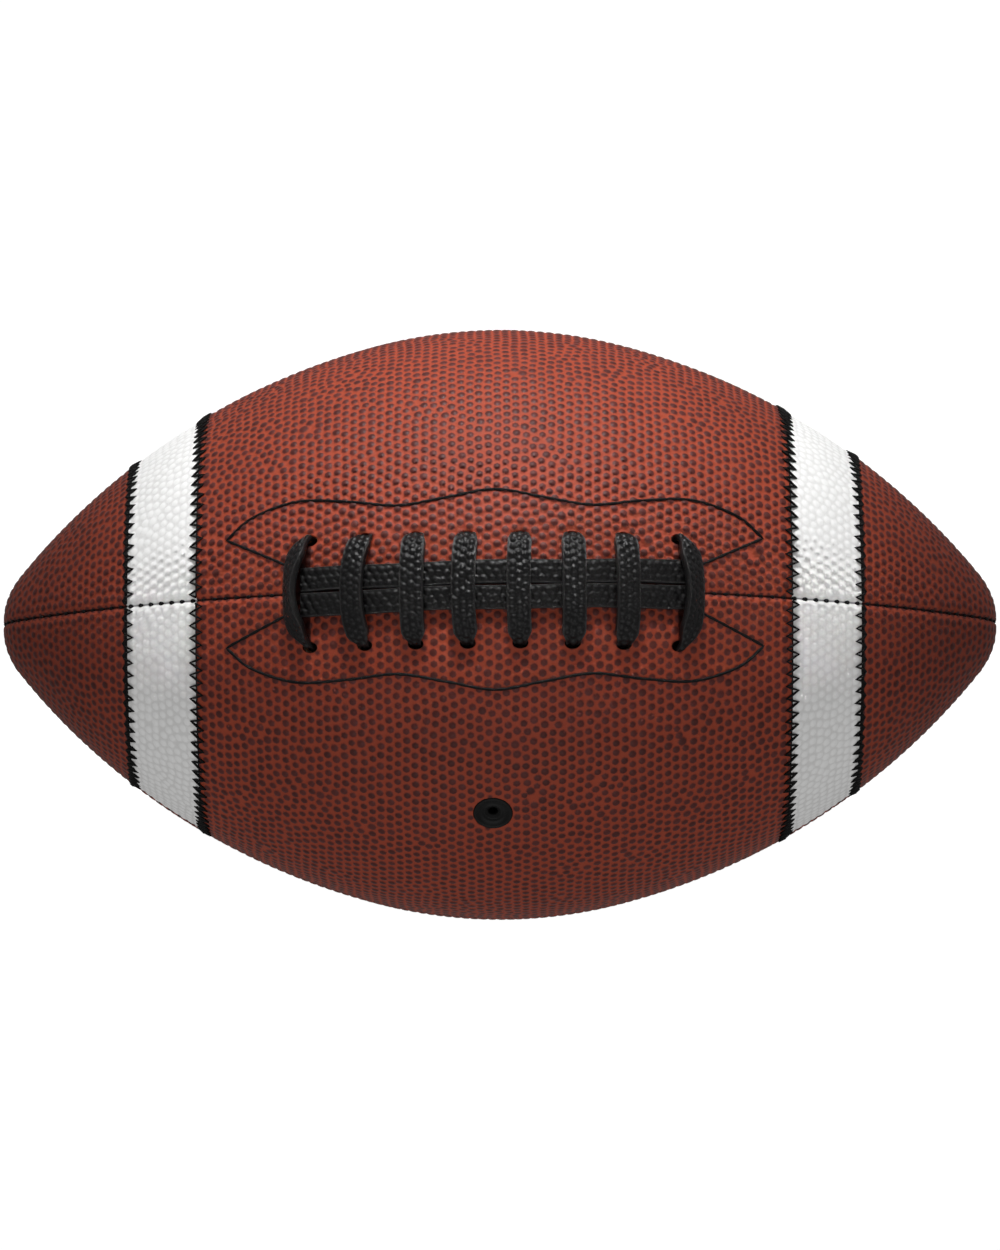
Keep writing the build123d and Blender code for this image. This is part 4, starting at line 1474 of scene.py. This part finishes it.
class FOOTBALL_OT_stage(bpy.types.Operator):
    """Makes the floor, the lights and the camera"""

    bl_idname = "football.stage"
    bl_label = "Stage"

    def execute(self, context):
        scene = context.scene
        look = scene.football_stage
        low = -scene.football_outline.diameter / 2 - FLOOR_GAP
        mesh = bpy.data.meshes.new("floor")
        corners = [(x * FLOOR_HALF, y * FLOOR_HALF, low) for x, y in ((-1, -1), (1, -1), (1, 1), (-1, 1))]
        mesh.from_pydata(corners, [], [(0, 1, 2, 3)])
        mesh.materials.append(floor_finish(look))
        floor = placed("floor", mesh)
        floor.visible_diffuse = False
        floor.visible_glossy = False
        self.lamp("key_light", *KEY_LIGHT, look.key_power, look.key_spread)
        self.lamp("fill_light", *FILL_LIGHT, look.fill_power, math.pi)
        world = bpy.data.worlds.new("studio")
        world.use_nodes = True
        back = world.node_tree.nodes["Background"]
        back.inputs["Color"].default_value = (1.0, 1.0, 1.0, 1.0)
        back.inputs["Strength"].default_value = look.ambient
        scene.world = world
        scene.view_settings.view_transform = "Standard"
        data = bpy.data.cameras.new("camera")
        data.sensor_fit = "HORIZONTAL"
        data.sensor_width = SENSOR_WIDTH
        data.lens = SENSOR_WIDTH * look.distance / look.frame_width
        data.clip_start = 0.05
        camera = placed("camera", data)
        way = Vector((0.0, -math.cos(look.elevation), math.sin(look.elevation)))
        turn = way.to_track_quat("Z", "Y").to_matrix().to_4x4()
        roll = Matrix.Rotation(-look.roll, 4, "Z")
        camera.matrix_world = Matrix.Translation(way * look.distance) @ turn @ roll
        scene.camera = camera
        return {"FINISHED"}

    def lamp(self, name, place, size, power, spread):
        """A rectangular light that points at the ball's centre."""
        data = bpy.data.lights.new(name, "AREA")
        data.shape = "RECTANGLE"
        data.size, data.size_y = size
        data.energy = power
        data.spread = spread
        lamp = placed(name, data)
        lamp.location = place
        lamp.rotation_euler = Vector(place).to_track_quat("Z", "Y").to_euler()


class FOOTBALL_PT_sidebar(bpy.types.Panel):
    """Lists the sizes, colours and steps of the football"""

    bl_idname = "FOOTBALL_PT_sidebar"
    bl_label = "American football"
    bl_space_type = "VIEW_3D"
    bl_region_type = "UI"
    bl_category = "Football"

    def draw(self, context):
        for operator in OPERATORS:
            self.layout.operator(operator.bl_idname)
        for key in GROUPS:
            box = self.layout.box()
            group = getattr(context.scene, key)
            for name in group.__annotations__:
                box.prop(group, name)


GROUPS = {
    "football_outline": FootballOutline,
    "football_leather": FootballLeather,
    "football_stripe": FootballStripe,
    "football_stitching": FootballStitching,
    "football_lacing": FootballLacing,
    "football_valve": FootballValve,
    "football_stage": FootballStage,
}

OPERATORS = (
    FOOTBALL_OT_stage,
    FOOTBALL_OT_leather,
    FOOTBALL_OT_stripes,
    FOOTBALL_OT_stripe_threads,
    FOOTBALL_OT_seam_stitches,
    FOOTBALL_OT_stay_stitches,
    FOOTBALL_OT_lacing,
    FOOTBALL_OT_valve,
    FOOTBALL_OT_inside,
)


def register():
    for group in GROUPS.values():
        bpy.utils.register_class(group)
    for key, group in GROUPS.items():
        setattr(bpy.types.Scene, key, PointerProperty(type=group))
    for operator in OPERATORS:
        bpy.utils.register_class(operator)
    bpy.utils.register_class(FOOTBALL_PT_sidebar)


def unregister():
    bpy.utils.unregister_class(FOOTBALL_PT_sidebar)
    for operator in reversed(OPERATORS):
        bpy.utils.unregister_class(operator)
    for key in GROUPS:
        delattr(bpy.types.Scene, key)
    for group in reversed(list(GROUPS.values())):
        bpy.utils.unregister_class(group)


def main():
    register()
    for operator in OPERATORS:
        step = operator.bl_idname.split(".")[1]
        getattr(bpy.ops.football, step)()


if __name__ == "__main__":
    main()
